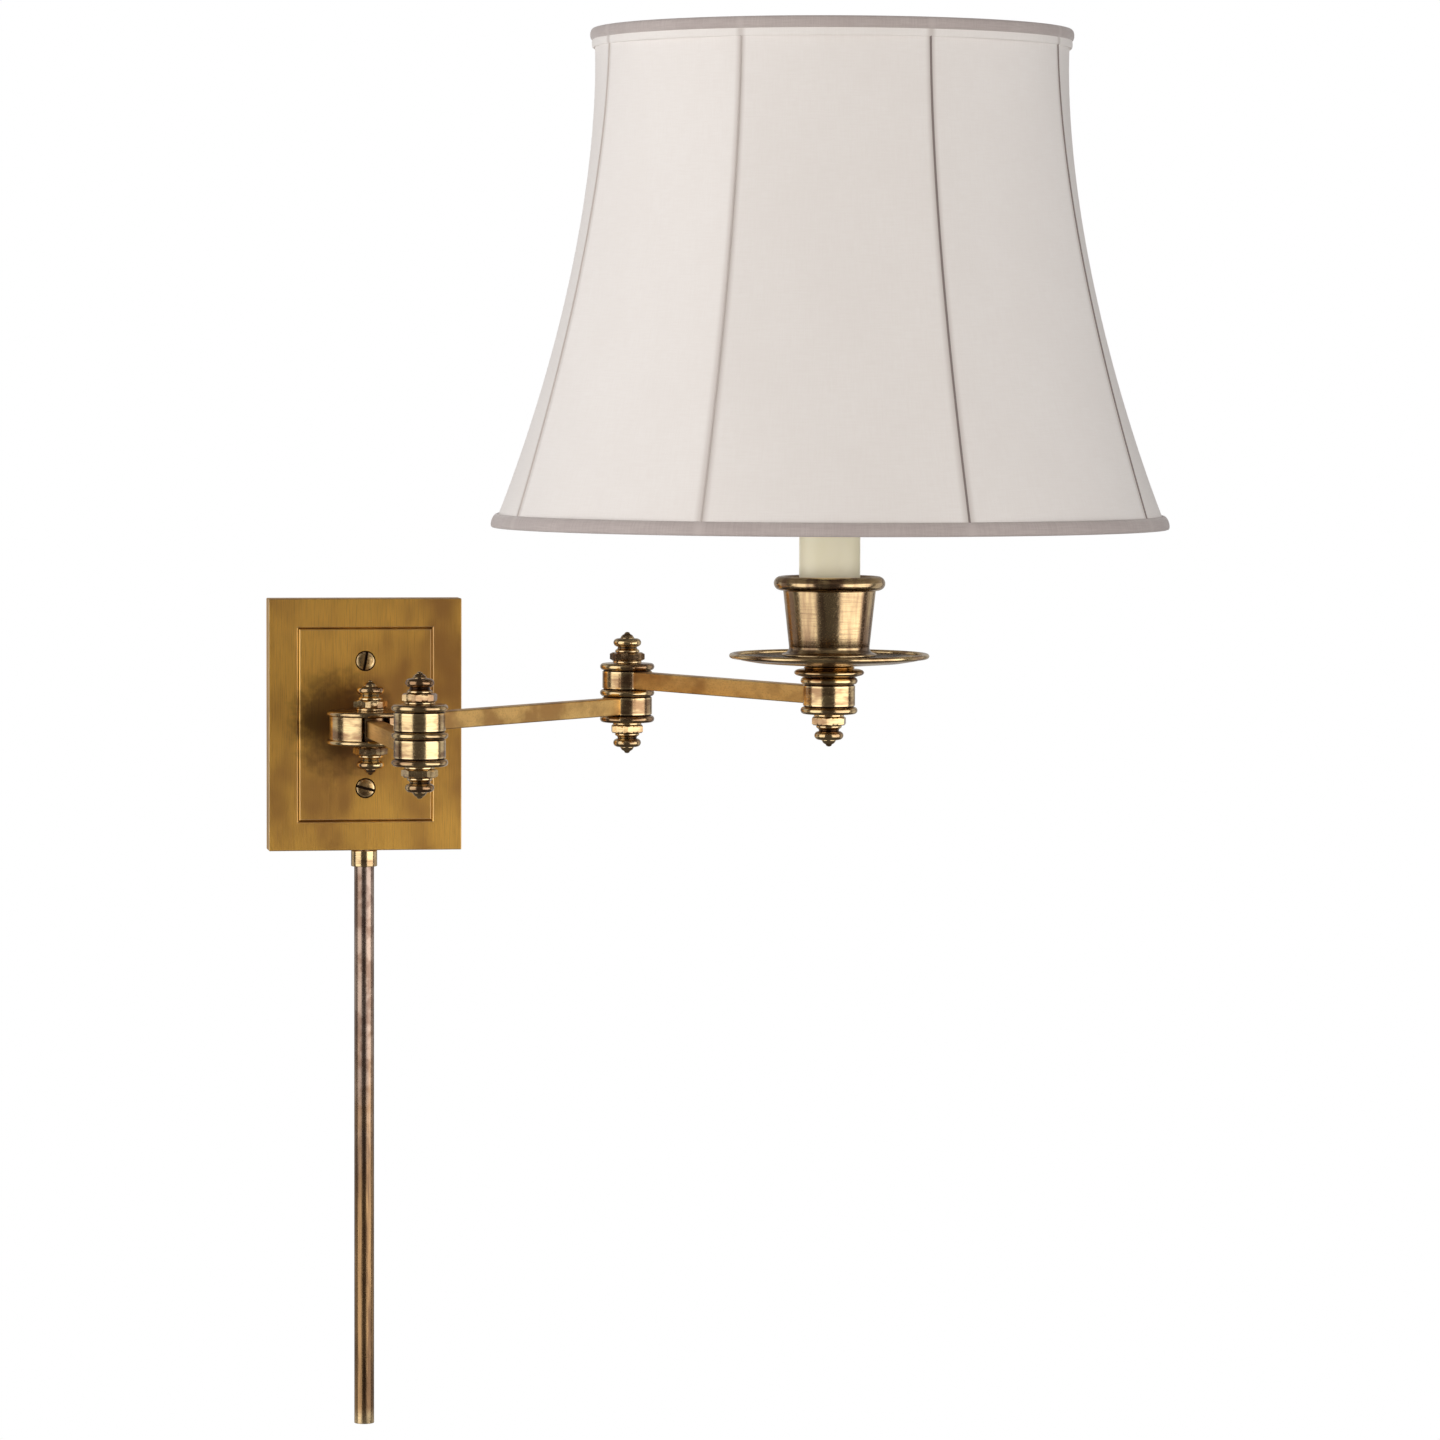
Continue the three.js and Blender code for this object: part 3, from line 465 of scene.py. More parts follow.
def finished(bm, name, node, material, place=None, sharp=42.0, replaces=True, weighted=False, soften=4):
    """Makes a bmesh in millimetres a piece that rides with a CAD node, and stands for it unless replaces is False."""
    mesh = bpy.data.meshes.new(name)
    bm.to_mesh(mesh)
    bm.free()
    mesh.shade_smooth()
    mesh.set_sharp_from_angle(angle=math.radians(sharp))
    mark_hollows(mesh, soften=soften)
    mesh.transform((place or Matrix.Identity(4)) @ Matrix.Scale(MM, 4))
    mesh.materials.append(material)
    piece = bpy.data.objects.new(name, mesh)
    bpy.context.scene.collection.objects.link(piece)
    if weighted:
        piece.modifiers.new("even_shading", "WEIGHTED_NORMAL").keep_sharp = True
    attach(piece, BODY_OF[node])
    if replaces:
        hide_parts(node)
    return piece


def at(x, y, z, turn=0.0):
    """A place in metres, turned about Z by an angle in degrees."""
    return Matrix.Translation((x, y, z)) @ Matrix.Rotation(math.radians(turn), 4, "Z")


def middle(node):
    low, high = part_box(node)
    return (low + high) / 2


def write_hollows(piece, values):
    """Puts hollow values of our own over the measured ones."""
    piece.data.attributes["hollow"].data.foreach_set("value", values)


# %% [markdown]
# ## The joints' hardware
# Each joint is a hollow rod with a washer, a hex nut and a turned finial at either end. A finial was turned
# with a flared neck, a round bead and a small domed tip. It could be a sculpted shape, but a lathe profile
# with true arcs is both quicker and nearer to the tool that made it.

# %% Washer, nut and finial shapes
ROD_HOLE = 5.1
WASHER_RADIUS = 6.7
WASHER_THICK = 0.8
NUT_FLAT = 7.15  # from the axis to a flat
NUT_THICK = 3.8
NUT_CHAMFER = 0.35  # how steeply the corners are turned off
FACE_GAP = 0.2


def washer_shape():
    rim = [(WASHER_RADIUS, 0, 0.2), (WASHER_RADIUS, WASHER_THICK, 0.2)]
    return spun([(ROD_HOLE, 0), *rim, (ROD_HOLE, WASHER_THICK)], closed=True)


def finial_shape():
    foot = [(0, 0), (5.7, 0, 0.25), (5.7, 0.7, 0.2)]
    neck = arc((6.4, 2.05), (1.9, 1.15), 235, 180, 4) + [(4.35, 2.5)]
    bead = arc((4.2, 4.4), (2.3, 2.0), -75, 72, 12)
    dome = [(3.3, 6.4), (3.3, 6.65, 0.1)] + arc((0, 6.5), (3.05, 2.15), 12, 62, 6)
    tip = arc((0, 8.45), (1.35, 0.95), 5, 90, 6)
    return spun(foot + neck + bead + dome + tip, steps=48)


def nut_shape():
    """A hex nut: a turned ring whose wall is pushed out to six flats, its corners falling away at both ends."""
    edge = 0.3
    profile = [
        (ROD_HOLE, 0), (NUT_FLAT - 0.2, 0), (NUT_FLAT, edge), (NUT_FLAT, NUT_THICK - edge),
        (NUT_FLAT - 0.2, NUT_THICK), (ROD_HOLE, NUT_THICK),
    ]
    bm = spun(profile, closed=True, steps=72, longest=10)
    for v in bm.verts:
        if v.co.xy.length > NUT_FLAT - 0.01:
            from_flat = (math.degrees(math.atan2(v.co.y, v.co.x)) + 30) % 60 - 30
            reach = 1 / math.cos(math.radians(from_flat))
            v.co.x *= reach
            v.co.y *= reach
            fall = NUT_FLAT * (reach - 1) * NUT_CHAMFER
            v.co.z += fall if v.co.z < NUT_THICK / 2 else -fall
    return bm


# %% [markdown]
# A nut is rarely square to anything. Its turn is read from the CAD node, as the direction of the corner that
# lies furthest from the axis.

# %% Fit the hardware to every rod end


def corner_turn(node):
    """The direction of one corner of a hex nut, in degrees."""
    centre = middle(node)
    spans = [Vector((v.co.x - centre.x, v.co.y - centre.y)) for v in frame["nodes"][node].data.vertices]
    corner = max(spans, key=lambda span: span.length)
    return math.degrees(math.atan2(corner.y, corner.x))


def standing(node, side, turn=0.0):
    """Where a rod-end piece stands: on the end of its box that faces the barrel, pointing away from it."""
    low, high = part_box(node)
    centre = middle(node)
    if side == "upper":
        return at(centre.x, centre.y, low.z, turn)
    return at(centre.x, centre.y, high.z) @ Matrix.Rotation(math.pi, 4, "X") @ at(0, 0, 0, -turn)


for joint, sides in (("shoulder", 2), ("elbow", 2), ("wrist", 2), ("head", 1)):
    for side in ("lower", "upper")[:sides]:
        washer, nut, finial = (f"{joint}_{part}_{side}" for part in ("washer", "nut", "finial"))
        finished(washer_shape(), f"{washer}_turned", washer, turned_brass, standing(washer, side))
        nut_place = standing(nut, side, corner_turn(nut) + 30)
        finished(nut_shape(), f"{nut}_filed", nut, turned_brass, nut_place)
        seat = nut_place @ Matrix.Translation((0, 0, (NUT_THICK + FACE_GAP) * MM))
        finished(finial_shape(), f"{finial}_turned", finial, turned_brass, seat)

# %% [markdown]
# ## Barrels
# The arms end in short hollow barrels that turn on the rods. Each has a round bead at either end and a narrow
# groove beside the bead, which holds the dark patina. Where two barrels meet they share one bead between them,
# so each makes a little less than half of it.

# %% Turned barrels
LEVEL_STEP = 12.2
HEAD_BARREL_HEIGHT = 13.2
BEAD_RADIUS = 1.6
BEAD_CENTRE = 11.1
WALL_RADIUS = 11.6
GROOVE = 0.4  # width of the groove beside a bead
PARTING = 2.0  # degrees of a shared bead given up to the joint line


def barrel_shape(height, shared):
    half = height / 2
    foot = arc((BEAD_CENTRE, -half), (BEAD_RADIUS, BEAD_RADIUS), PARTING if shared == "bottom" else -90, 90, 10)
    head = arc((BEAD_CENTRE, half), (BEAD_RADIUS, BEAD_RADIUS), -90, -PARTING if shared == "top" else 90, 10)
    shoulder = half - BEAD_RADIUS - GROOVE
    wall = [(BEAD_CENTRE - 0.1, -shoulder), (WALL_RADIUS, -shoulder + 0.15, 0.1)]
    wall += [(WALL_RADIUS, shoulder - 0.15, 0.1), (BEAD_CENTRE - 0.1, shoulder)]
    return spun([(ROD_HOLE, foot[0][1]), *foot, *wall, *head, (ROD_HOLE, head[-1][1])], closed=True, longest=1.0)


elbow = JOINT_AT["elbow_swing"]
wrist = JOINT_AT["wrist_swing"]
head_axis = middle("head_pipe")
BARRELS = {
    "elbow_barrel_lower": (elbow, "arm_1_tube", LEVEL_STEP, "top"),
    "elbow_barrel_upper": (elbow, "arm_2_tube", LEVEL_STEP, "bottom"),
    "wrist_barrel_lower": (wrist, "arm_2_tube", LEVEL_STEP, "top"),
    "wrist_barrel_upper": (wrist, "arm_3_tube", LEVEL_STEP, "bottom"),
    "head_barrel": (head_axis, "arm_3_tube", HEAD_BARREL_HEIGHT, "none"),
}
for node, (axis, arm, height, shared) in BARRELS.items():
    place = at(axis.x, axis.y, middle(arm).z)
    finished(barrel_shape(height, shared), f"{node}_turned", node, turned_brass, place)
print("barrels:", len(BARRELS))

# %% [markdown]
# ## Arms
# An arm is a square brass tube, brazed into a barrel at each end. A stretched cube with eased long edges gives
# its outside. Both end faces are inset, and the two inner loops are bridged, which makes it a tube.
# Each arm has a satin finish of its own, whose pattern is turned by the arm's heading.

# %% Square tubes
ARM_SIDE = 8.0
ARM_WALL = 1.0
ARM_EDGE = 0.6
ARM_IN_WALL = 10.0  # an arm ends this far from a barrel's axis, inside its wall
DRUM_SEAT_RADIUS = 14.4
shoulder = JOINT_AT["shoulder_swing"]


def ease_edges(bm, edges, width):
    bmesh.ops.bevel(
        bm, geom=edges, offset=width, offset_type="OFFSET", segments=3, profile=0.5, affect="EDGES", material=-1
    )


def tube_shape(length):
    """A square tube about the Y axis, its middle at the origin."""
    bm = bmesh.new()
    bmesh.ops.create_cube(bm, size=1.0)
    bmesh.ops.scale(bm, vec=(ARM_SIDE, length, ARM_SIDE), verts=bm.verts)
    long_edges = [e for e in bm.edges if abs(e.verts[0].co.y - e.verts[1].co.y) > 1]
    ease_edges(bm, long_edges, ARM_EDGE)
    ends = [f for f in bm.faces if abs(f.normal.y) > 0.9]
    bmesh.ops.inset_individual(bm, faces=ends, thickness=ARM_WALL, depth=0, use_even_offset=True)
    bmesh.ops.delete(bm, geom=ends, context="FACES")
    bmesh.ops.bridge_loops(bm, edges=[e for e in bm.edges if e.is_boundary])
    bmesh.ops.recalc_face_normals(bm, faces=bm.faces)
    return bm


ARMS = {"arm_1_tube": (shoulder, elbow), "arm_2_tube": (elbow, wrist), "arm_3_tube": (wrist, head_axis)}
for node, (start, end) in ARMS.items():
    run = Vector((end.x - start.x, end.y - start.y))
    heading = math.atan2(run.x, -run.y)
    begin = DRUM_SEAT_RADIUS - 3 if node == "arm_1_tube" else ARM_IN_WALL
    stop = run.length / MM - ARM_IN_WALL
    grain = brass(
        f"{node}_brass", (0.86, 0.55, 0.19), (0.50, 0.27, 0.085), (1500, 40, 1500), turn=-heading,
        rough=0.36, patches=(60, 16, 60), line_depth=0.00004,
    )[0]
    place = at(start.x, start.y, middle(node).z, math.degrees(heading))
    place = place @ Matrix.Translation((0, -(begin + stop) / 2 * MM, 0))
    finished(tube_shape(stop - begin), f"{node}_drawn", node, grain, place, weighted=True)
    print(node, "runs", round(run.length / MM, 2), "mm between axes, heading", round(math.degrees(heading), 1))

# %% [markdown]
# ## Cutting holes
# A few pieces need holes and slots that no lathe makes. The Boolean modifier takes one solid out of another.
# Its result is read back from the evaluated object, so no modifier and no cutter stays in the scene.

# %% Cut helper


def shown_object(bm, name):
    mesh = bpy.data.meshes.new(name)
    bm.to_mesh(mesh)
    bm.free()
    made = bpy.data.objects.new(name, mesh)
    bpy.context.scene.collection.objects.link(made)
    return made


def cut(bm, *cutters):
    """What is left of a solid once the cutters are taken out of it."""
    target = shown_object(bm, "target")
    tools = [shown_object(cutter, "cutter") for cutter in cutters]
    for tool in tools:
        step = target.modifiers.new("cut", "BOOLEAN")
        step.operation = "DIFFERENCE"
        step.solver = "EXACT"
        step.object = tool
    result = bmesh.new()
    result.from_mesh(target.evaluated_get(bpy.context.evaluated_depsgraph_get()).to_mesh())
    for spent in (target, *tools):
        mesh = spent.data
        bpy.data.objects.remove(spent)
        bpy.data.meshes.remove(mesh)
    return result


def box_shape(low, high):
    """A block between two corners."""
    bm = bmesh.new()
    bmesh.ops.create_cube(bm, size=1.0)
    bmesh.ops.scale(bm, vec=Vector(high) - Vector(low), verts=bm.verts)
    bmesh.ops.translate(bm, vec=(Vector(high) + Vector(low)) / 2, verts=bm.verts)
    return bm


def laid_out(bm, z=0.0, turn=0.0):
    """Lays a piece turned about Z along -Y, at height z, after a turn about its own axis."""
    bm.transform(
        Matrix.Translation((0, 0, z))
        @ Matrix.Rotation(math.pi / 2, 4, "X")
        @ Matrix.Rotation(math.radians(turn), 4, "Z")
    )
    return bm


# %% [markdown]
# ## Wall plate
# The plate is a shallow pressed pan, brushed up and down, with a fine rectangular line engraved round its
# face. The line is made with insets: one slopes down into the metal and the next slopes back up, which leaves
# a V-shaped groove that catches the light as the engraver's does. A narrow flat lip on each side of it keeps
# the burnish of its edges close to the line.

# %% Brushed plate with its engraved line
PLATE_WIDTH, PLATE_HEIGHT, PLATE_DEPTH, PLATE_WALL = 92.0, 120.0, 13.0, 1.6
PLATE_EDGE = 0.5
LINE_INSET, LINE_HALF, LINE_DEPTH, LINE_LIP = 13.4, 0.75, 0.6, 0.35
SCREW_SPACING = 60.6
SCREW_WELL_RADIUS, SCREW_WELL_DEPTH = 4.85, 1.2
STEM_HOLE, TUBE_HOLE, TUBE_OUT = 4.8, 5.05, 6.6

plate = box_shape(
    (-PLATE_WIDTH / 2, -PLATE_DEPTH, -PLATE_HEIGHT / 2), (PLATE_WIDTH / 2, 0, PLATE_HEIGHT / 2)
)
outer_edges = [e for e in plate.edges if min(v.co.y for v in e.verts) < -1]
ease_edges(plate, outer_edges, PLATE_EDGE)
plate.normal_update()
face = min(plate.faces, key=lambda f: f.normal.y)
STEPS_IN = [(LINE_INSET - PLATE_EDGE - LINE_LIP, 0), (LINE_LIP, 0), (LINE_HALF, -LINE_DEPTH),
            (LINE_HALF, LINE_DEPTH), (LINE_LIP, 0)]
for width, depth in STEPS_IN:
    bmesh.ops.inset_region(plate, faces=[face], thickness=width, depth=depth, use_even_offset=True)
bmesh.ops.recalc_face_normals(plate, faces=plate.faces)
pan = box_shape(
    (-PLATE_WIDTH / 2 + PLATE_WALL, -PLATE_DEPTH + PLATE_WALL, -PLATE_HEIGHT / 2 + PLATE_WALL),
    (PLATE_WIDTH / 2 - PLATE_WALL, 2, PLATE_HEIGHT / 2 - PLATE_WALL),
)
wells = []
for z in (SCREW_SPACING / 2, -SCREW_SPACING / 2):
    floor_at = PLATE_DEPTH - SCREW_WELL_DEPTH
    profile = [(0, 5), (2.4, 5), (2.4, floor_at), (SCREW_WELL_RADIUS, floor_at)]
    profile += [(SCREW_WELL_RADIUS, PLATE_DEPTH + 1), (0, PLATE_DEPTH + 1)]
    wells.append(laid_out(spun(profile, longest=20), z))
stem_hole = laid_out(spun([(0, 5), (STEM_HOLE, 5), (STEM_HOLE, 20), (0, 20)], longest=20))
tube_hole = spun([(0, -70), (TUBE_HOLE, -70), (TUBE_HOLE, -50), (0, -50)], longest=30)
bmesh.ops.translate(tube_hole, verts=tube_hole.verts, vec=(0, -TUBE_OUT, 0))
plate = cut(plate, pan, *wells, stem_hole, tube_hole)
print("wall plate:", len(plate.faces), "faces")
wall_plate = finished(plate, "wall_plate_brushed", "wall_plate", plate_brass, weighted=True, sharp=25)

# %% [markdown]
# The plate's faces are too wide for the curvature reading. Its patina is written by place instead: black at
# the bottom of the engraved line, burnished at the line's edges and along the rim, and even elsewhere.

# %% Patina of the plate
LINE_MIDDLE = LINE_INSET + LINE_HALF


def plate_patina(place):
    """The hollow value at a place on the plate, in millimetres."""
    if place.y > -PLATE_DEPTH + LINE_DEPTH + 0.1:
        return 0.66 if place.y < -PLATE_DEPTH + SCREW_WELL_DEPTH + 0.1 else 0.5
    from_edge = min(PLATE_WIDTH / 2 - abs(place.x), PLATE_HEIGHT / 2 - abs(place.z))
    if abs(from_edge - LINE_MIDDLE) < 0.1:
        return 0.64
    if abs(from_edge - LINE_MIDDLE) < LINE_HALF + 0.1 or from_edge < PLATE_EDGE * 0.7:
        return 0.3
    return 0.5


marks = [plate_patina(v.co / MM) for v in wall_plate.data.vertices]
write_hollows(wall_plate, marks)
print("plate vertices in the line:", sum(m == 0.64 for m in marks))

# %% [markdown]
# Two slotted screws hold the plate. Each head sits in a shallow well, so a thin dark ring shows round it, and
# the slots point wherever the screwdriver stopped.

# %% Plate screws
SCREW_HEAD_RADIUS = 4.3
SLOT_WIDTH, SLOT_DEPTH = 1.3, 1.2
SLOT_TURN = {"upper": -10.0, "lower": 75.0}

for side, sign in (("upper", 1), ("lower", -1)):
    crown = PLATE_DEPTH + 0.9
    profile = [(0, 3), (2.0, 3), (2.0, 12.3), (SCREW_HEAD_RADIUS, 12.3), (SCREW_HEAD_RADIUS, 13.35, 0.2)]
    profile += [(SCREW_HEAD_RADIUS - 0.7, 13.55, 0.2), (2.9, crown - 0.12), (1.5, crown - 0.04), (0, crown)]
    slot = box_shape((-SLOT_WIDTH / 2, -6, crown - SLOT_DEPTH), (SLOT_WIDTH / 2, 6, crown + 3))
    screw = laid_out(cut(spun(profile, steps=48), slot), sign * SCREW_SPACING / 2, SLOT_TURN[side])
    screw_piece = finished(screw, f"plate_screw_{side}_slotted", f"plate_screw_{side}", screw_brass, sharp=30)
    across = math.radians(SLOT_TURN[side])
    marks = []
    for v in screw_piece.data.vertices:
        x, z = v.co.x / MM, v.co.z / MM - sign * SCREW_SPACING / 2
        off_slot = abs(x * math.cos(across) + z * math.sin(across))
        in_slot = off_slot < SLOT_WIDTH / 2 + 0.05 and -v.co.y / MM < crown - SLOT_DEPTH + 0.1
        rim = math.hypot(x, z) > SCREW_HEAD_RADIUS - 0.8 and -v.co.y / MM > PLATE_DEPTH
        marks.append(0.8 if in_slot else 0.32 if rim else 0.5)
    write_hollows(screw_piece, marks)
    print(side, "screw:", len(screw_piece.data.polygons), "faces")

# %% [markdown]
# ## Collar and cord tube
# The tube that hides the cord hangs from a plain collar under the plate. It is drawn tube, open at the bottom,
# so the profile is a closed loop that leaves the bore empty.

# %% Cord tube and collar
TUBE_RADIUS, TUBE_BORE, COLLAR_RADIUS = 4.75, 3.9, 6.25


def pipe_shape(node, outer, bore, ease, longest=8.0):
    """A round tube as tall as a CAD node's box, its foot at z = 0."""
    low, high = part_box(node)
    height = (high.z - low.z) / MM
    return spun([(outer, 0, ease), (outer, height, ease), (bore, height), (bore, 0)], closed=True, longest=longest)


def foot_of(node):
    low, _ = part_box(node)
    return at(middle(node).x, middle(node).y, low.z)


def stood(bm, node, how, material):
    """Finishes a turned piece that stands on the foot of its CAD node, named for how it was made."""
    return finished(bm, f"{node}_{how}", node, material, foot_of(node))


stood(pipe_shape("cord_tube", TUBE_RADIUS, TUBE_BORE, 0.15), "cord_tube", "drawn", tube_brass)
stood(pipe_shape("tube_collar", COLLAR_RADIUS, TUBE_HOLE, 0.35, 1.0), "tube_collar", "turned", turned_brass)

# %% [markdown]
# ## Shoulder drum
# At the wall the first arm turns on a wide drum: two discs with rounded rims and a curved wall between them at
# the front, open round the arm and open at the back, where the fixed stem comes in. The walls are partial
# spins whose open ends are filled.

# %% Drum discs, walls and seat
DRUM_RADIUS, DRUM_WALL, DRUM_FLANGE_RADIUS = 19.5, 2.0, 20.8
DRUM_HALF, DRUM_FLANGE_HALF = 6.7, 1.3
DRUM_NOTCH = 13.5


def disc_shape(centre):
    rim = arc((DRUM_FLANGE_RADIUS - DRUM_FLANGE_HALF, centre), (DRUM_FLANGE_HALF, DRUM_FLANGE_HALF), -90, 90, 10)
    face_low, face_high = centre - DRUM_FLANGE_HALF, centre + DRUM_FLANGE_HALF
    return spun([(ROD_HOLE, face_low), *rim, (ROD_HOLE, face_high)], closed=True, steps=80)


def curved_wall(outer, thick, start, end):
    """A wall between the discs, from one angle to another about Z, in degrees, 0 towards +X."""
    reach = DRUM_HALF - 0.3
    section = [(outer, -reach), (outer, reach), (outer - thick, reach), (outer - thick, -reach)]
    bm = spun(section, closed=True, steps=max(4, round((end - start) / 4)), angle=end - start, longest=1.2)
    bm.transform(Matrix.Rotation(math.radians(start), 4, "Z"))
    return bm


notch_turn = math.degrees(math.asin(DRUM_NOTCH / 2 / DRUM_RADIUS))
seat_turn = math.degrees(math.asin(9 / DRUM_SEAT_RADIUS))
drum = joined(
    disc_shape(DRUM_HALF),
    disc_shape(-DRUM_HALF),
    curved_wall(DRUM_RADIUS, DRUM_WALL, 180, 270 - notch_turn),
    curved_wall(DRUM_RADIUS, DRUM_WALL, 270 + notch_turn, 360),
    curved_wall(DRUM_SEAT_RADIUS, 2.0, 270 - seat_turn, 270 + seat_turn),
)
first_heading = math.degrees(math.atan2(elbow.x - shoulder.x, shoulder.y - elbow.y))
print("drum:", len(drum.faces), "faces, heading", round(first_heading, 1))
drum_place = at(shoulder.x, shoulder.y, middle("shoulder_drum").z, first_heading)
finished(drum, "shoulder_drum_turned", "shoulder_drum", turned_brass, drum_place)

# %% [markdown]
# The stem runs from the strap through the plate to an eye round the post. Only a glimpse of it shows behind
# the drum, but it is what holds the whole lamp up, so it is made like the rest.

# %% Stem and its eye
STEM_RADIUS, STEM_BORE, EYE_RADIUS = 4.5, 3.2, 7.4
back = -shoulder.y / MM - 2.3
eye_half = DRUM_HALF - DRUM_FLANGE_HALF - 0.3
stem_profile = [(STEM_BORE, 6, 0.2), (STEM_RADIUS, 6), (STEM_RADIUS, back, 0.3), (STEM_BORE, back)]
stem = spun(stem_profile, closed=True, longest=4)
stem.transform(Matrix.Rotation(-math.pi / 2, 4, "X"))
eye = spun(
    [(ROD_HOLE, -eye_half), (EYE_RADIUS, -eye_half, 0.3), (EYE_RADIUS, eye_half, 0.3), (ROD_HOLE, eye_half)],
    closed=True,
)
stem_piece = joined(stem, eye)
finished(stem_piece, "wall_stem_turned", "wall_stem", inner_brass, at(shoulder.x, shoulder.y, 0))
print("stem reaches back", round(back, 1), "mm from the post")

# %% [markdown]
# ## The head
# On the last arm stands a stack of turned pieces: a disc with a stepped neck, the drip dish, and the candle
# cup. The dish was spun from sheet, so its wall is thin and its rim is rolled over. The cup has a flared foot,
# a slightly tapered wall, a neck, and a heavy rolled rim.

# %% Disc, drip dish and candle cup
DISC_FOOT, DISH_FOOT, CUP_FOOT = 1.8, 6.9, 10.8  # above the head barrel's upper bead
head_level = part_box("head_disc")[0].z - DISC_FOOT * MM


def head_place(height):
    """A place on the head's axis, at a height in millimetres above the head barrel's upper bead."""
    return at(head_axis.x, head_axis.y, head_level + height * MM)


disc_profile = [(ROD_HOLE, 0), (12.4, 0.05, 0.2)]
disc_profile += arc((12.9, 1.85), (2.7, 1.5), -80, 88, 10)
disc_profile += [(11.2, 3.45), (11.0, 3.65)]
disc_profile += arc((10.5, 4.1), (0.8, 0.42), -80, 80, 6)
disc_profile += [(10.2, 4.75), (ROD_HOLE, 4.85)]
finished(spun(disc_profile, closed=True), "head_disc_turned", "head_disc", turned_brass, head_place(DISC_FOOT))

dish_profile = [(ROD_HOLE, 0), (11.6, 0, 0.4), (14, 0.2), (24, 0.5), (33, 1.2), (39.5, 2.3), (42.1, 3.3)]
dish_profile += arc((43.3, 4.15), (1.25, 1.15), -120, 190, 14)
dish_profile += [(41.4, 4.0), (38.8, 3.0), (32.5, 1.95), (24, 1.35), (16.5, 1.1, 0.3)]
dish_profile += [(14.8, 3.6, 0.3), (ROD_HOLE, 3.7)]
dish = finished(
    spun(dish_profile, closed=True, steps=96, longest=2.5), "drip_dish_spun", "drip_dish", turned_brass,
    head_place(DISH_FOOT),
)

# The bowl of the dish, under the cup and the shade, is darkened as painted shade.
BOWL_SHADE_TONE, BOWL_RADIUS, BOWL_FLOOR = 0.585, 41, 0.9
hollows_and_bowl_shade = np.zeros(len(dish.data.vertices))
dish.data.attributes["hollow"].data.foreach_get("value", hollows_and_bowl_shade)
for v in dish.data.vertices:
    out_from_axis = math.hypot(v.co.x - head_axis.x, v.co.y - head_axis.y) / MM
    over_foot = (v.co.z - head_level) / MM - DISH_FOOT
    if out_from_axis < BOWL_RADIUS and v.normal.z > 0.5 and over_foot > BOWL_FLOOR:
        hollows_and_bowl_shade[v.index] = max(hollows_and_bowl_shade[v.index], BOWL_SHADE_TONE)
write_hollows(dish, hollows_and_bowl_shade)

cup_profile = [(ROD_HOLE, 0), (20.3, 0, 0.15)]
cup_profile += arc((20.5, 0.7), (0.6, 0.6), -70, 80, 6)
cup_profile += arc((20.4, 4.2), (2.5, 2.75), 268, 182, 8)
cup_profile += [(17.95, 4.6), (20.6, 29.3, 0.25), (19.5, 29.9, 0.2), (19.4, 30.4)]
cup_profile += arc((21.6, 32.55), (3.2, 3.15), -128, 170, 18)
cup_profile += [(18.1, 31.5), (16.5, 5.0, 0.5), (15.9, 2.0), (ROD_HOLE, 2.0)]
finished(
    spun(cup_profile, closed=True, steps=96), "candle_cup_turned", "candle_cup", cup_brass, head_place(CUP_FOOT),
    soften=7,
)
print("head stands", round(head_level, 4), "m above the origin")

# %% [markdown]
# The candle is an ivory sleeve over the pipe, and the socket, bulb and ring nut sit inside the shade. They
# show from below, so they get true profiles as well: the bulb's base has its screw thread as plain rings.

# %% Candle, socket and bulb
SLEEVE_RADIUS, SLEEVE_BORE = 13.6, 12.4
sleeve = pipe_shape("candle_sleeve", SLEEVE_RADIUS, SLEEVE_BORE, 0.35, 4.0)
stood(sleeve, "candle_sleeve", "ivory", ivory)

socket_profile = [(5.1, 0), (12, 0, 0.6), (17.5, 7, 1.5), (17.5, 17), (21, 17, 0.3), (21, 18.6, 0.3), (18.9, 18.6)]
for ring in range(5):
    socket_profile += arc((18.7, 19.8 + 1.8 * ring), (0.45, 0.7), -80, 80, 4)
socket_profile += [(17.5, 28.4), (17.5, 44, 0.8), (14.2, 44, 0.5), (14.2, 16), (5.1, 16)]
stood(spun(socket_profile, closed=True), "lamp_socket", "moulded", socket_black)

base_profile = [(0, 0), (4.2, 0, 0.6), (9, 3, 0.6), (12.4, 4.5)]
for ring in range(6):
    base_profile += arc((12.3, 6.4 + 3.0 * ring), (0.7, 1.2), -80, 80, 5)
base_profile += [(12.6, 23.4), (12.9, 25), (0, 25)]
stood(spun(base_profile, steps=48), "bulb_base", "rolled", steel)

glass_profile = [(0, 0), (13.3, 0, 0.5), (13.9, 4)]
glass_profile += [(p.x, p.y) for p in interpolate_bezier((14.2, 6, 0), (16, 20, 0), (26.5, 27, 0), (29.2, 43, 0), 12)]
glass_profile += arc((0, 51.5), (29.8, 30.4), -8, 89, 20) + [(0, 81.9)]
stood(spun(glass_profile, longest=4), "bulb_glass", "blown", milky_glass)

ring_profile = [(19.6, 0), (22.3, 0, 0.3), (22.3, 1.6, 0.3), (21.6, 1.8), (21.6, 2.6), (22.3, 2.8, 0.3)]
ring_profile += [(22.3, 4.4, 0.3), (19.6, 4.4)]
stood(spun(ring_profile, closed=True), "shade_ring_nut", "turned", turned_brass)

# %% [markdown]
# ## The shade's shape
# The shade is a bell: steep at the top, sweeping out to the bottom. One Bezier curve gives that sweep. Heights
# below are above the shade's bottom edge. The radius at any height is read off the finely divided curve.

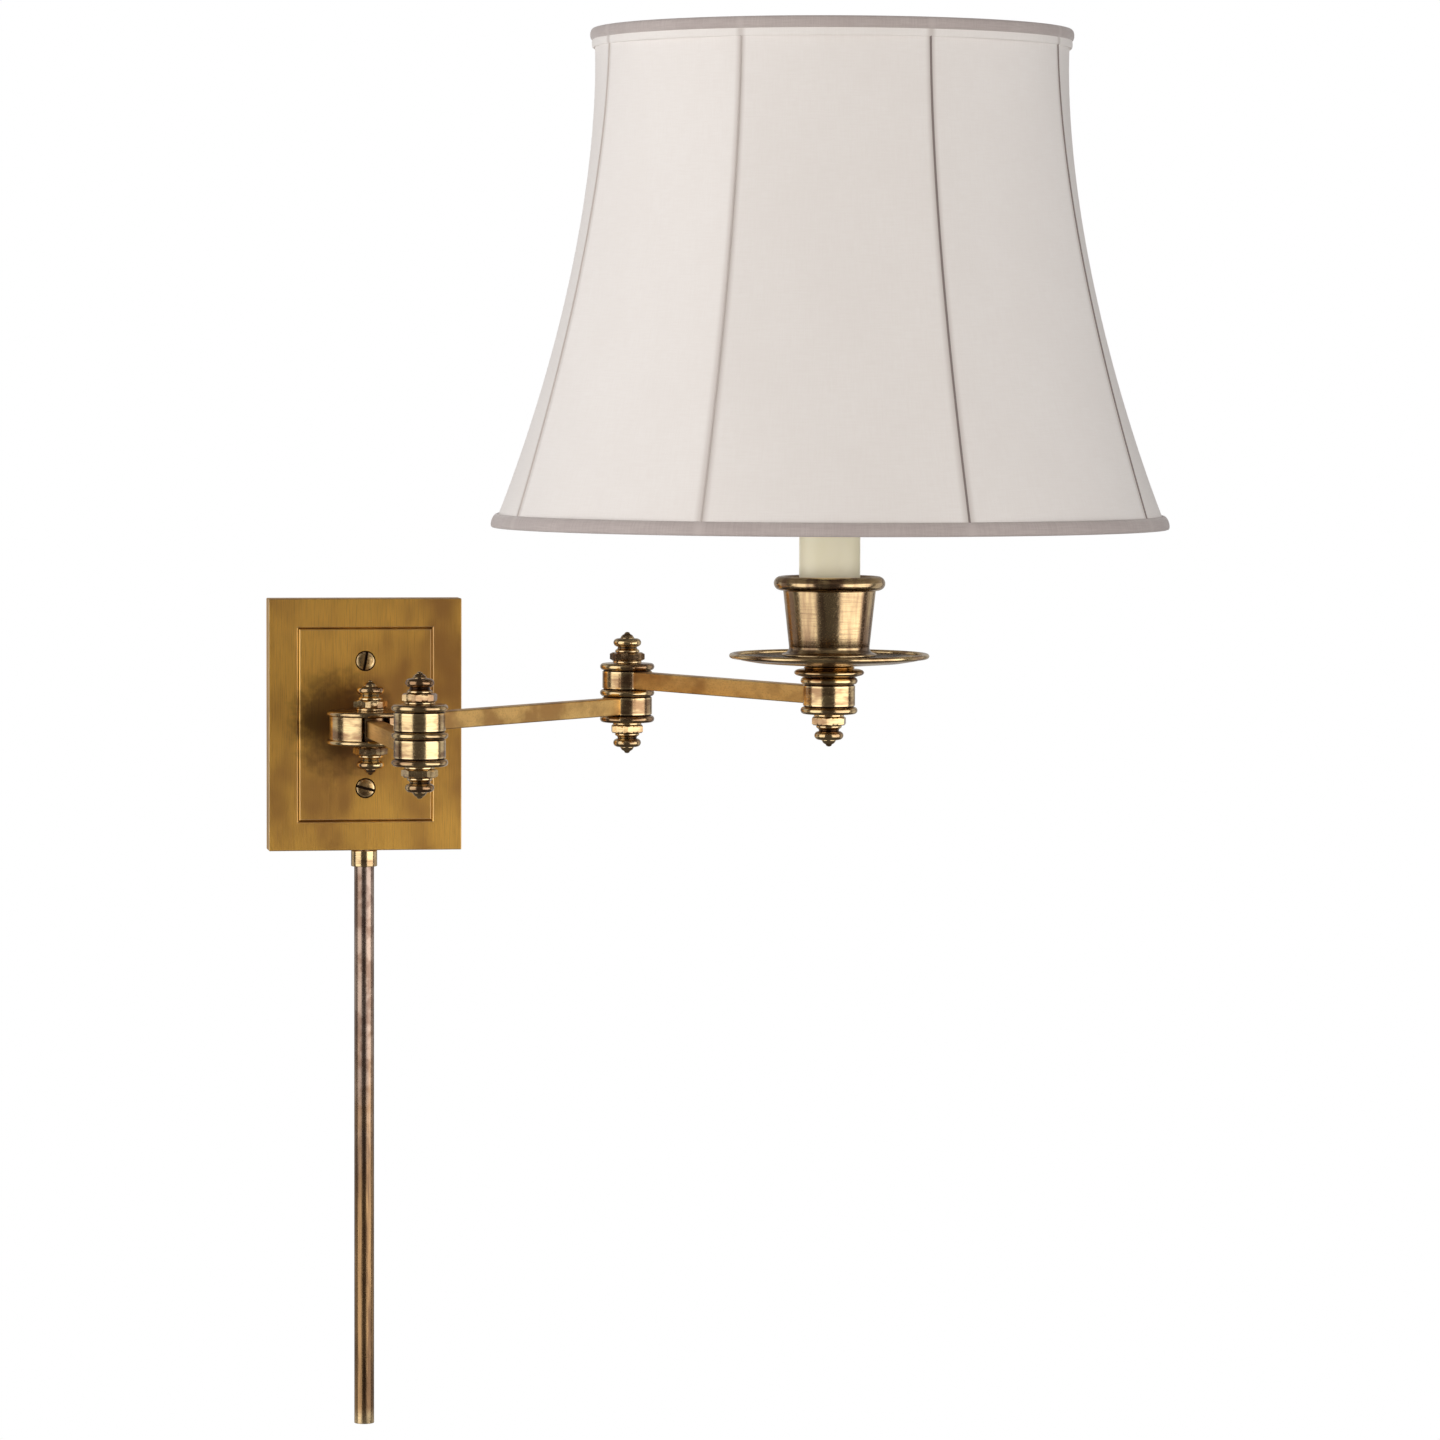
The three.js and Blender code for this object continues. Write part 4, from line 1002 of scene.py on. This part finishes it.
# %% Bell curve
SHADE_HEIGHT = 220.0
PANELS = 8
SEAM_TURN = 13.0  # first seam, from straight out towards +X
shade_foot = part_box("shade_cloth")[0].z
FOOT_RADIUS, NECK_RADIUS = 149.8, 105.5
FOOT_PULL, NECK_PULL = (136, 45.1, 0), (105.8, 139.9, 0)
curve = interpolate_bezier((FOOT_RADIUS, 0, 0), FOOT_PULL, NECK_PULL, (NECK_RADIUS, SHADE_HEIGHT, 0), 240)
BELL_RADII = [p.x for p in curve]
BELL_HEIGHTS = [p.y for p in curve]


def bell_radius(height):
    return float(np.interp(height, BELL_HEIGHTS, BELL_RADII))


def bell_run(bottom, top, inset, steps=40):
    """Profile points that follow the bell between two heights, inset from its outer face."""
    heights = [bottom + (top - bottom) * i / steps for i in range(steps + 1)]
    return [(bell_radius(z) - inset, z) for z in heights]


shade_place = at(head_axis.x, head_axis.y, shade_foot, SEAM_TURN - 90)

# %% [markdown]
# ## Stretched cloth
# The cover is sewn from eight panels and stretched over the wire frame. A cloth simulation could stretch it,
# but a stretched panel has a simple shape: it is round where a hoop holds it and it flattens between the ribs
# in the middle, because cloth under tension takes the short way across. So the bell is spun, and each point
# between two ribs is drawn in towards the straight line that joins them.

# %% Cover and lining surfaces
FLATNESS = 0.42  # 0 is round, 1 is straight from rib to rib
HALF_PANEL = math.pi / PANELS


def drawn_in(turn, height):
    """The share of its radius that a point keeps, for its angle and its height."""
    off_middle = (turn % (2 * HALF_PANEL)) - HALF_PANEL
    straight = math.cos(HALF_PANEL) / math.cos(off_middle)
    slack = FLATNESS * math.sin(math.pi * min(1, max(0, height / SHADE_HEIGHT))) ** 0.7
    return 1 + slack * (straight - 1)


def map_round(bm):
    """Gives a spun wall its own map: panels along U, and metres of height along V."""
    layer = bm.loops.layers.uv.new("UVMap")
    for f in bm.faces:
        centre = f.calc_center_median()
        middle_turn = math.atan2(centre.y, centre.x)
        for loop in f.loops:
            turn = math.atan2(loop.vert.co.y, loop.vert.co.x)
            turn += 2 * math.pi * round((middle_turn - turn) / (2 * math.pi))
            loop[layer].uv = (turn / (2 * HALF_PANEL), loop.vert.co.z * MM)


def cloth_shape(bottom, top, inset):
    """A single surface of cloth, drawn in between the ribs."""
    bm = spun(bell_run(bottom, top, inset), steps=PANELS * 20, longest=20)
    for f in bm.faces:
        centre = f.calc_center_median()
        if f.normal.dot(Vector((centre.x, centre.y, 0))) < 0:
            f.normal_flip()
    map_round(bm)
    for v in bm.verts:
        share = drawn_in(math.atan2(v.co.y, v.co.x), v.co.z)
        v.co.x *= share
        v.co.y *= share
    return bm


# %% [markdown]
# Shade silk is a plain weave of fine threads, with a faint slub here and there. It lets a little light
# through and looks softest near the edge, which the sheen does. Along each seam the cloth is folded double
# over a rib, and the rib's shadow shows through it, so the soft dark line there is partly the doubled cloth
# and partly painted shadow. All of this follows the cloth's own map.

# %% Cloth finishes


def cloth(name, thread, shadow, seam_dark_and_shadow, weave=1700.0, sheen=0.3):
    made, tree, shader = new_material(name)
    own = add(tree, "UVMap", uv_map="UVMap").outputs[0]
    across = add(tree, "SeparateXYZ", {0: own})
    fabric = add(tree, "Mapping", {"Vector": own, "Scale": (0.1, 1.0, 1.0)}).outputs[0]
    threads = add(tree, "Mapping", {"Vector": fabric, "Scale": (weave, weave * 0.06, 1)}).outputs[0]
    picks = add(tree, "Mapping", {"Vector": fabric, "Scale": (weave * 0.06, weave, 1)}).outputs[0]
    weave_height = summed(tree, noise(tree, threads, 1.0, 2.0), noise(tree, picks, 1.0, 2.0))
    cloudy = noise(tree, fabric, 25.0)
    colour = blended(tree, stretched(tree, weave_height, 0.75, 1.25, 0.0, 0.5), thread, shadow)
    colour = blended(tree, stretched(tree, cloudy, 0.35, 0.65, 0.0, 0.3), colour, shadow)
    fraction = add(tree, "Math", {0: across.outputs[0]}, operation="FRACT").outputs[0]
    off_middle = add(tree, "Math", {0: fraction, 1: 0.5}, operation="SUBTRACT").outputs[0]
    near_seam = add(tree, "Math", {0: off_middle}, operation="ABSOLUTE").outputs[0]
    # darker near each seam: the doubled cloth, with the rib's shadow painted in
    colour = blended(tree, stretched(tree, near_seam, 0.465, 0.499), colour, seam_dark_and_shadow)
    tree.links.new(colour, shader.inputs["Base Color"])
    bump = add(tree, "Bump", {"Height": weave_height, "Strength": 0.35, "Distance": 0.0001})
    tree.links.new(bump.outputs[0], shader.inputs["Normal"])
    shader.inputs["Roughness"].default_value = 0.85
    shader.inputs["Specular IOR Level"].default_value = 0.2
    shader.inputs["Sheen Weight"].default_value = sheen
    shader.inputs["Sheen Roughness"].default_value = 0.5
    return made


silk = cloth("shade_silk", (0.93, 0.90, 0.875), (0.88, 0.84, 0.81), (0.70, 0.65, 0.62))
lining_silk = cloth("lining_silk", (0.92, 0.90, 0.87), (0.86, 0.84, 0.80), (0.6, 0.56, 0.52), sheen=0.1)
# the binding is the cover's own cloth; its greyer colour is painted shade
trim_silk = cloth("trim_silk", (0.56, 0.50, 0.48), (0.42, 0.36, 0.35), (0.56, 0.50, 0.48), sheen=0.5)
# The seam colours are painted shade, the shadow of each raised seam, lighter on the seams that face the key light.
seam_silk = cloth("seam_silk", (0.34, 0.30, 0.28), (0.26, 0.22, 0.21), (0.26, 0.22, 0.21), sheen=0.2)
soft_seam_silk = cloth("soft_seam_silk", (0.68, 0.63, 0.60), (0.60, 0.55, 0.52), (0.60, 0.55, 0.52), sheen=0.2)
print("cloth finishes:", silk.name, lining_silk.name, trim_silk.name)

# %% [markdown]
# The cover and the lining hang on the same bell, one outside the wires and one inside. Each is made as a single
# surface and gets its thickness from a modifier, so that its map and its weave stay undisturbed.

# %% Cover and lining pieces
COVER_THICK, LINING_THICK = 0.5, 0.3
COVER_EDGE, COVER_INSET = 0.6, 0.1
LINING_BOTTOM, LINING_BELOW_TOP, LINING_INSET = 4, 9, 4.7


def clothed(bm, name, node, material, thick):
    piece = finished(bm, name, node, material, shade_place, sharp=80)
    wall = piece.modifiers.new("thickness", "SOLIDIFY")
    wall.thickness = thick * MM
    wall.offset = -1
    return piece


COVER = (COVER_EDGE, SHADE_HEIGHT - COVER_EDGE, COVER_INSET)
LINING = (LINING_BOTTOM, SHADE_HEIGHT - LINING_BELOW_TOP, LINING_INSET)
cover = clothed(cloth_shape(*COVER), "shade_cover", "shade_cloth", silk, COVER_THICK)
lining = clothed(cloth_shape(*LINING), "shade_lining_cloth", "shade_lining", lining_silk, LINING_THICK)
print("cover faces:", len(cover.data.polygons))

# %% [markdown]
# ## Wires
# The frame under the cloth is welded wire: two hoops and eight ribs. The fitter is a ring with three wires
# up to the top hoop. A hoop is a spun circle. Any other wire is a row of circles that face along its path,
# bridged one to the next and capped.

# %% Wire frame and fitter
WIRE_RADIUS, FITTER_WIRE_RADIUS, FRAME_OFFSET = 1.2, 1.4, 2.7
LOW_HOOP, HIGH_HOOP = WIRE_RADIUS + 0.4, SHADE_HEIGHT - WIRE_RADIUS - 0.4


def wire_shape(points, radius, sides=10, turn=0.0):
    """A round wire through points, turned about Z by an angle in radians."""
    bm = bmesh.new()
    rings = []
    for i, point in enumerate(points):
        before, after = points[max(i - 1, 0)], points[min(i + 1, len(points) - 1)]
        facing = (Vector(after) - Vector(before)).to_track_quat("Z", "X").to_matrix().to_4x4()
        made = bmesh.ops.create_circle(
            bm, cap_ends=i in (0, len(points) - 1), segments=sides, radius=radius,
            matrix=Matrix.Translation(point) @ facing,
        )
        rings.append({e for v in made["verts"] for e in v.link_edges})
    for first, second in zip(rings, rings[1:]):
        bmesh.ops.bridge_loops(bm, edges=list(first | second))
    bmesh.ops.recalc_face_normals(bm, faces=bm.faces)
    bm.transform(Matrix.Rotation(turn, 4, "Z"))
    return bm


def hoop_shape(height):
    centre = (bell_radius(height) - FRAME_OFFSET, height)
    return spun(arc(centre, (WIRE_RADIUS, WIRE_RADIUS), 0, 330, 11), closed=True, steps=96, longest=5)


rib = [(r, 0, z) for r, z in bell_run(LOW_HOOP, HIGH_HOOP, FRAME_OFFSET, 24)]
cage = [hoop_shape(LOW_HOOP), hoop_shape(HIGH_HOOP)]
cage += [wire_shape(rib, WIRE_RADIUS - 0.1, turn=2 * HALF_PANEL * i) for i in range(PANELS)]
finished(joined(*cage), "shade_frame_wires", "shade_frame", steel, shade_place)

ring_foot = (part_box("shade_fitter")[0].z - shade_foot) / MM
bend = interpolate_bezier(
    (33, 0, ring_foot + 12), (55, 0, ring_foot + 60), (70, 0, HIGH_HOOP - 40), (86, 0, HIGH_HOOP - 14), 16
)
riser = [(24.6, 0, ring_foot + 0.9), (29, 0, ring_foot + 4)] + [tuple(p) for p in bend]
riser += [(91, 0, HIGH_HOOP - 5), (96, 0, HIGH_HOOP - 1.2), (101, 0, HIGH_HOOP)]
fitter_ring = spun(
    [(19.6, ring_foot), (26, ring_foot, 0.5), (26, ring_foot + 1.8, 0.5), (19.6, ring_foot + 1.8)], closed=True
)
risers = [
    wire_shape(riser, FITTER_WIRE_RADIUS, turn=math.radians(180 - SEAM_TURN + 120 * i)) for i in range(3)
]
finished(joined(fitter_ring, *risers), "shade_fitter_wires", "shade_fitter", steel, shade_place)
print("ribs:", PANELS, "fitter wires:", len(risers))

# %% [markdown]
# ## Seams and trims
# Over each rib two panels meet in a narrow raised seam, coloured dark as its painted shadow. The top and bottom
# edges are bound with a rolled band of self cloth, given a greyer colour as painted shade, and under the top roll a
# flat strip of the binding shows.

# %% Seams, rolls and strip
BOTTOM_TRIM, TOP_ROLL, TOP_STRIP = 6.0, 5.2, 8.4
TRIM_PROUD, STRIP_PROUD = 1.4, 0.6
SEAM_RADIUS, SEAM_SUNK = 0.5, 0.15


def band_shape(bottom, top, proud, inside=1.2):
    """A rolled band over the cloth between two heights, with a map that follows it round."""
    middle_height = (bottom + top) / 2
    half = (top - bottom) / 2
    radius = bell_radius(middle_height)
    lean = (bell_radius(bottom) - bell_radius(top)) / (top - bottom)
    outside = arc((radius, middle_height), (proud, half), -90, 90, 12)
    within = arc((radius, middle_height), (inside, half), 90, 270, 8)[1:-1]
    profile = [(r - (z - middle_height) * lean, z) for r, z in outside + within]
    bm = spun(profile, closed=True, steps=PANELS * 16, longest=20)
    map_round(bm)
    return bm


seam_line = [(r, 0, z) for r, z in bell_run(BOTTOM_TRIM - 1, SHADE_HEIGHT - TOP_STRIP + 1, SEAM_SUNK, 30)]
DARK_SHADOW_SEAMS, LIGHT_SHADOW_SEAMS = (0, 1, 2, 3, 4), (5, 6, 7)  # the three seams on the left, facing the key light, get the lighter colour: painted light and shade


def seams(numbers, name, material):
    wires = joined(*[wire_shape(seam_line, SEAM_RADIUS, 8, 2 * HALF_PANEL * i) for i in numbers])
    return finished(wires, name, "shade_cloth", material, shade_place, replaces=False)


seam_pieces = [seams(DARK_SHADOW_SEAMS, "crisp_seams", seam_silk), seams(LIGHT_SHADOW_SEAMS, "soft_seams", soft_seam_silk)]
bottom_roll = finished(
    band_shape(0, BOTTOM_TRIM, TRIM_PROUD), "bottom_binding", "bottom_trim", trim_silk, shade_place
)
top_roll = finished(
    band_shape(SHADE_HEIGHT - TOP_ROLL, SHADE_HEIGHT, TRIM_PROUD), "top_binding", "top_trim", trim_silk, shade_place
)
strip = finished(
    band_shape(SHADE_HEIGHT - TOP_STRIP, SHADE_HEIGHT - TOP_ROLL + 0.8, STRIP_PROUD), "top_strip", "top_trim", silk,
    shade_place, replaces=False,
)
print("trims proud of the cloth by", TRIM_PROUD, "mm")

# %% [markdown]
# The cover and the lining are sheets that were cut flat. Each was cut from a length of cloth as wide as the
# bottom edge is round and as long as a panel, and the curved cutting leaves the area given here.

# %% Area of the cloth


def ring_area(bottom, top, inset):
    """Area of a spun wall, in square metres."""
    run = bell_run(bottom, top, inset)
    strips = (math.pi * (a[0] + b[0]) * math.dist(a, b) for a, b in zip(run, run[1:]))
    return sum(strips) * MM * MM


cover_area = ring_area(*COVER)
lining_area = ring_area(*LINING)
print("cover area:", round(cover_area, 4), "m2; lining area:", round(lining_area, 4), "m2")

# %% [markdown]
# ## What stays as the frame has it
# The strap, the locknuts, the rods and the pipe are hidden inside. Their CAD shapes are right as they are, so
# they only get their metal.

# %% Finishes for the hidden parts
HIDDEN = {
    "mounting_strap": steel,
    "stem_locknut": steel,
    "cup_locknut": steel,
    "shoulder_post": inner_brass,
    "elbow_rod": inner_brass,
    "wrist_rod": inner_brass,
    "head_pipe": inner_brass,
}
for node, material in HIDDEN.items():
    mesh = frame["nodes"][node].data
    mesh.materials.clear()
    mesh.materials.append(material)
left = [n for n, o in frame["nodes"].items() if not o.hide_render and n not in HIDDEN]
print("hidden parts:", len(HIDDEN), "nodes left without a finish:", left)

# %% [markdown]
# ## Each set of lights to its own pieces
# Brass looks best between large boxes with dark gaps, and cloth under a soft key. A studio would light them one
# after the other. Here each light is linked to the pieces that it is meant for.

# %% Light linking


def light_only(name, lights, pieces):
    """Lets these lights reach only these pieces."""
    group = bpy.data.collections.new(name)
    for piece in pieces:
        group.objects.link(piece)
    for light in lights:
        light.light_linking.receiver_collection = group


CLOTH_NODES = ("shade_", "top_", "bottom_", "candle_sleeve", "crisp_", "soft_")
shown = [o for o in bpy.data.objects if o.type == "MESH" and o is not floor and not o.hide_render]
soft_pieces = [o for o in shown if o.name.startswith(CLOTH_NODES)]
light_only("cloth_lit", CLOTH_LIGHTS, soft_pieces)
light_only("metal_lit", METAL_LIGHTS, [o for o in shown if o not in soft_pieces] + [floor])
print("pieces in the cloth's light:", len(soft_pieces), "of", len(shown))
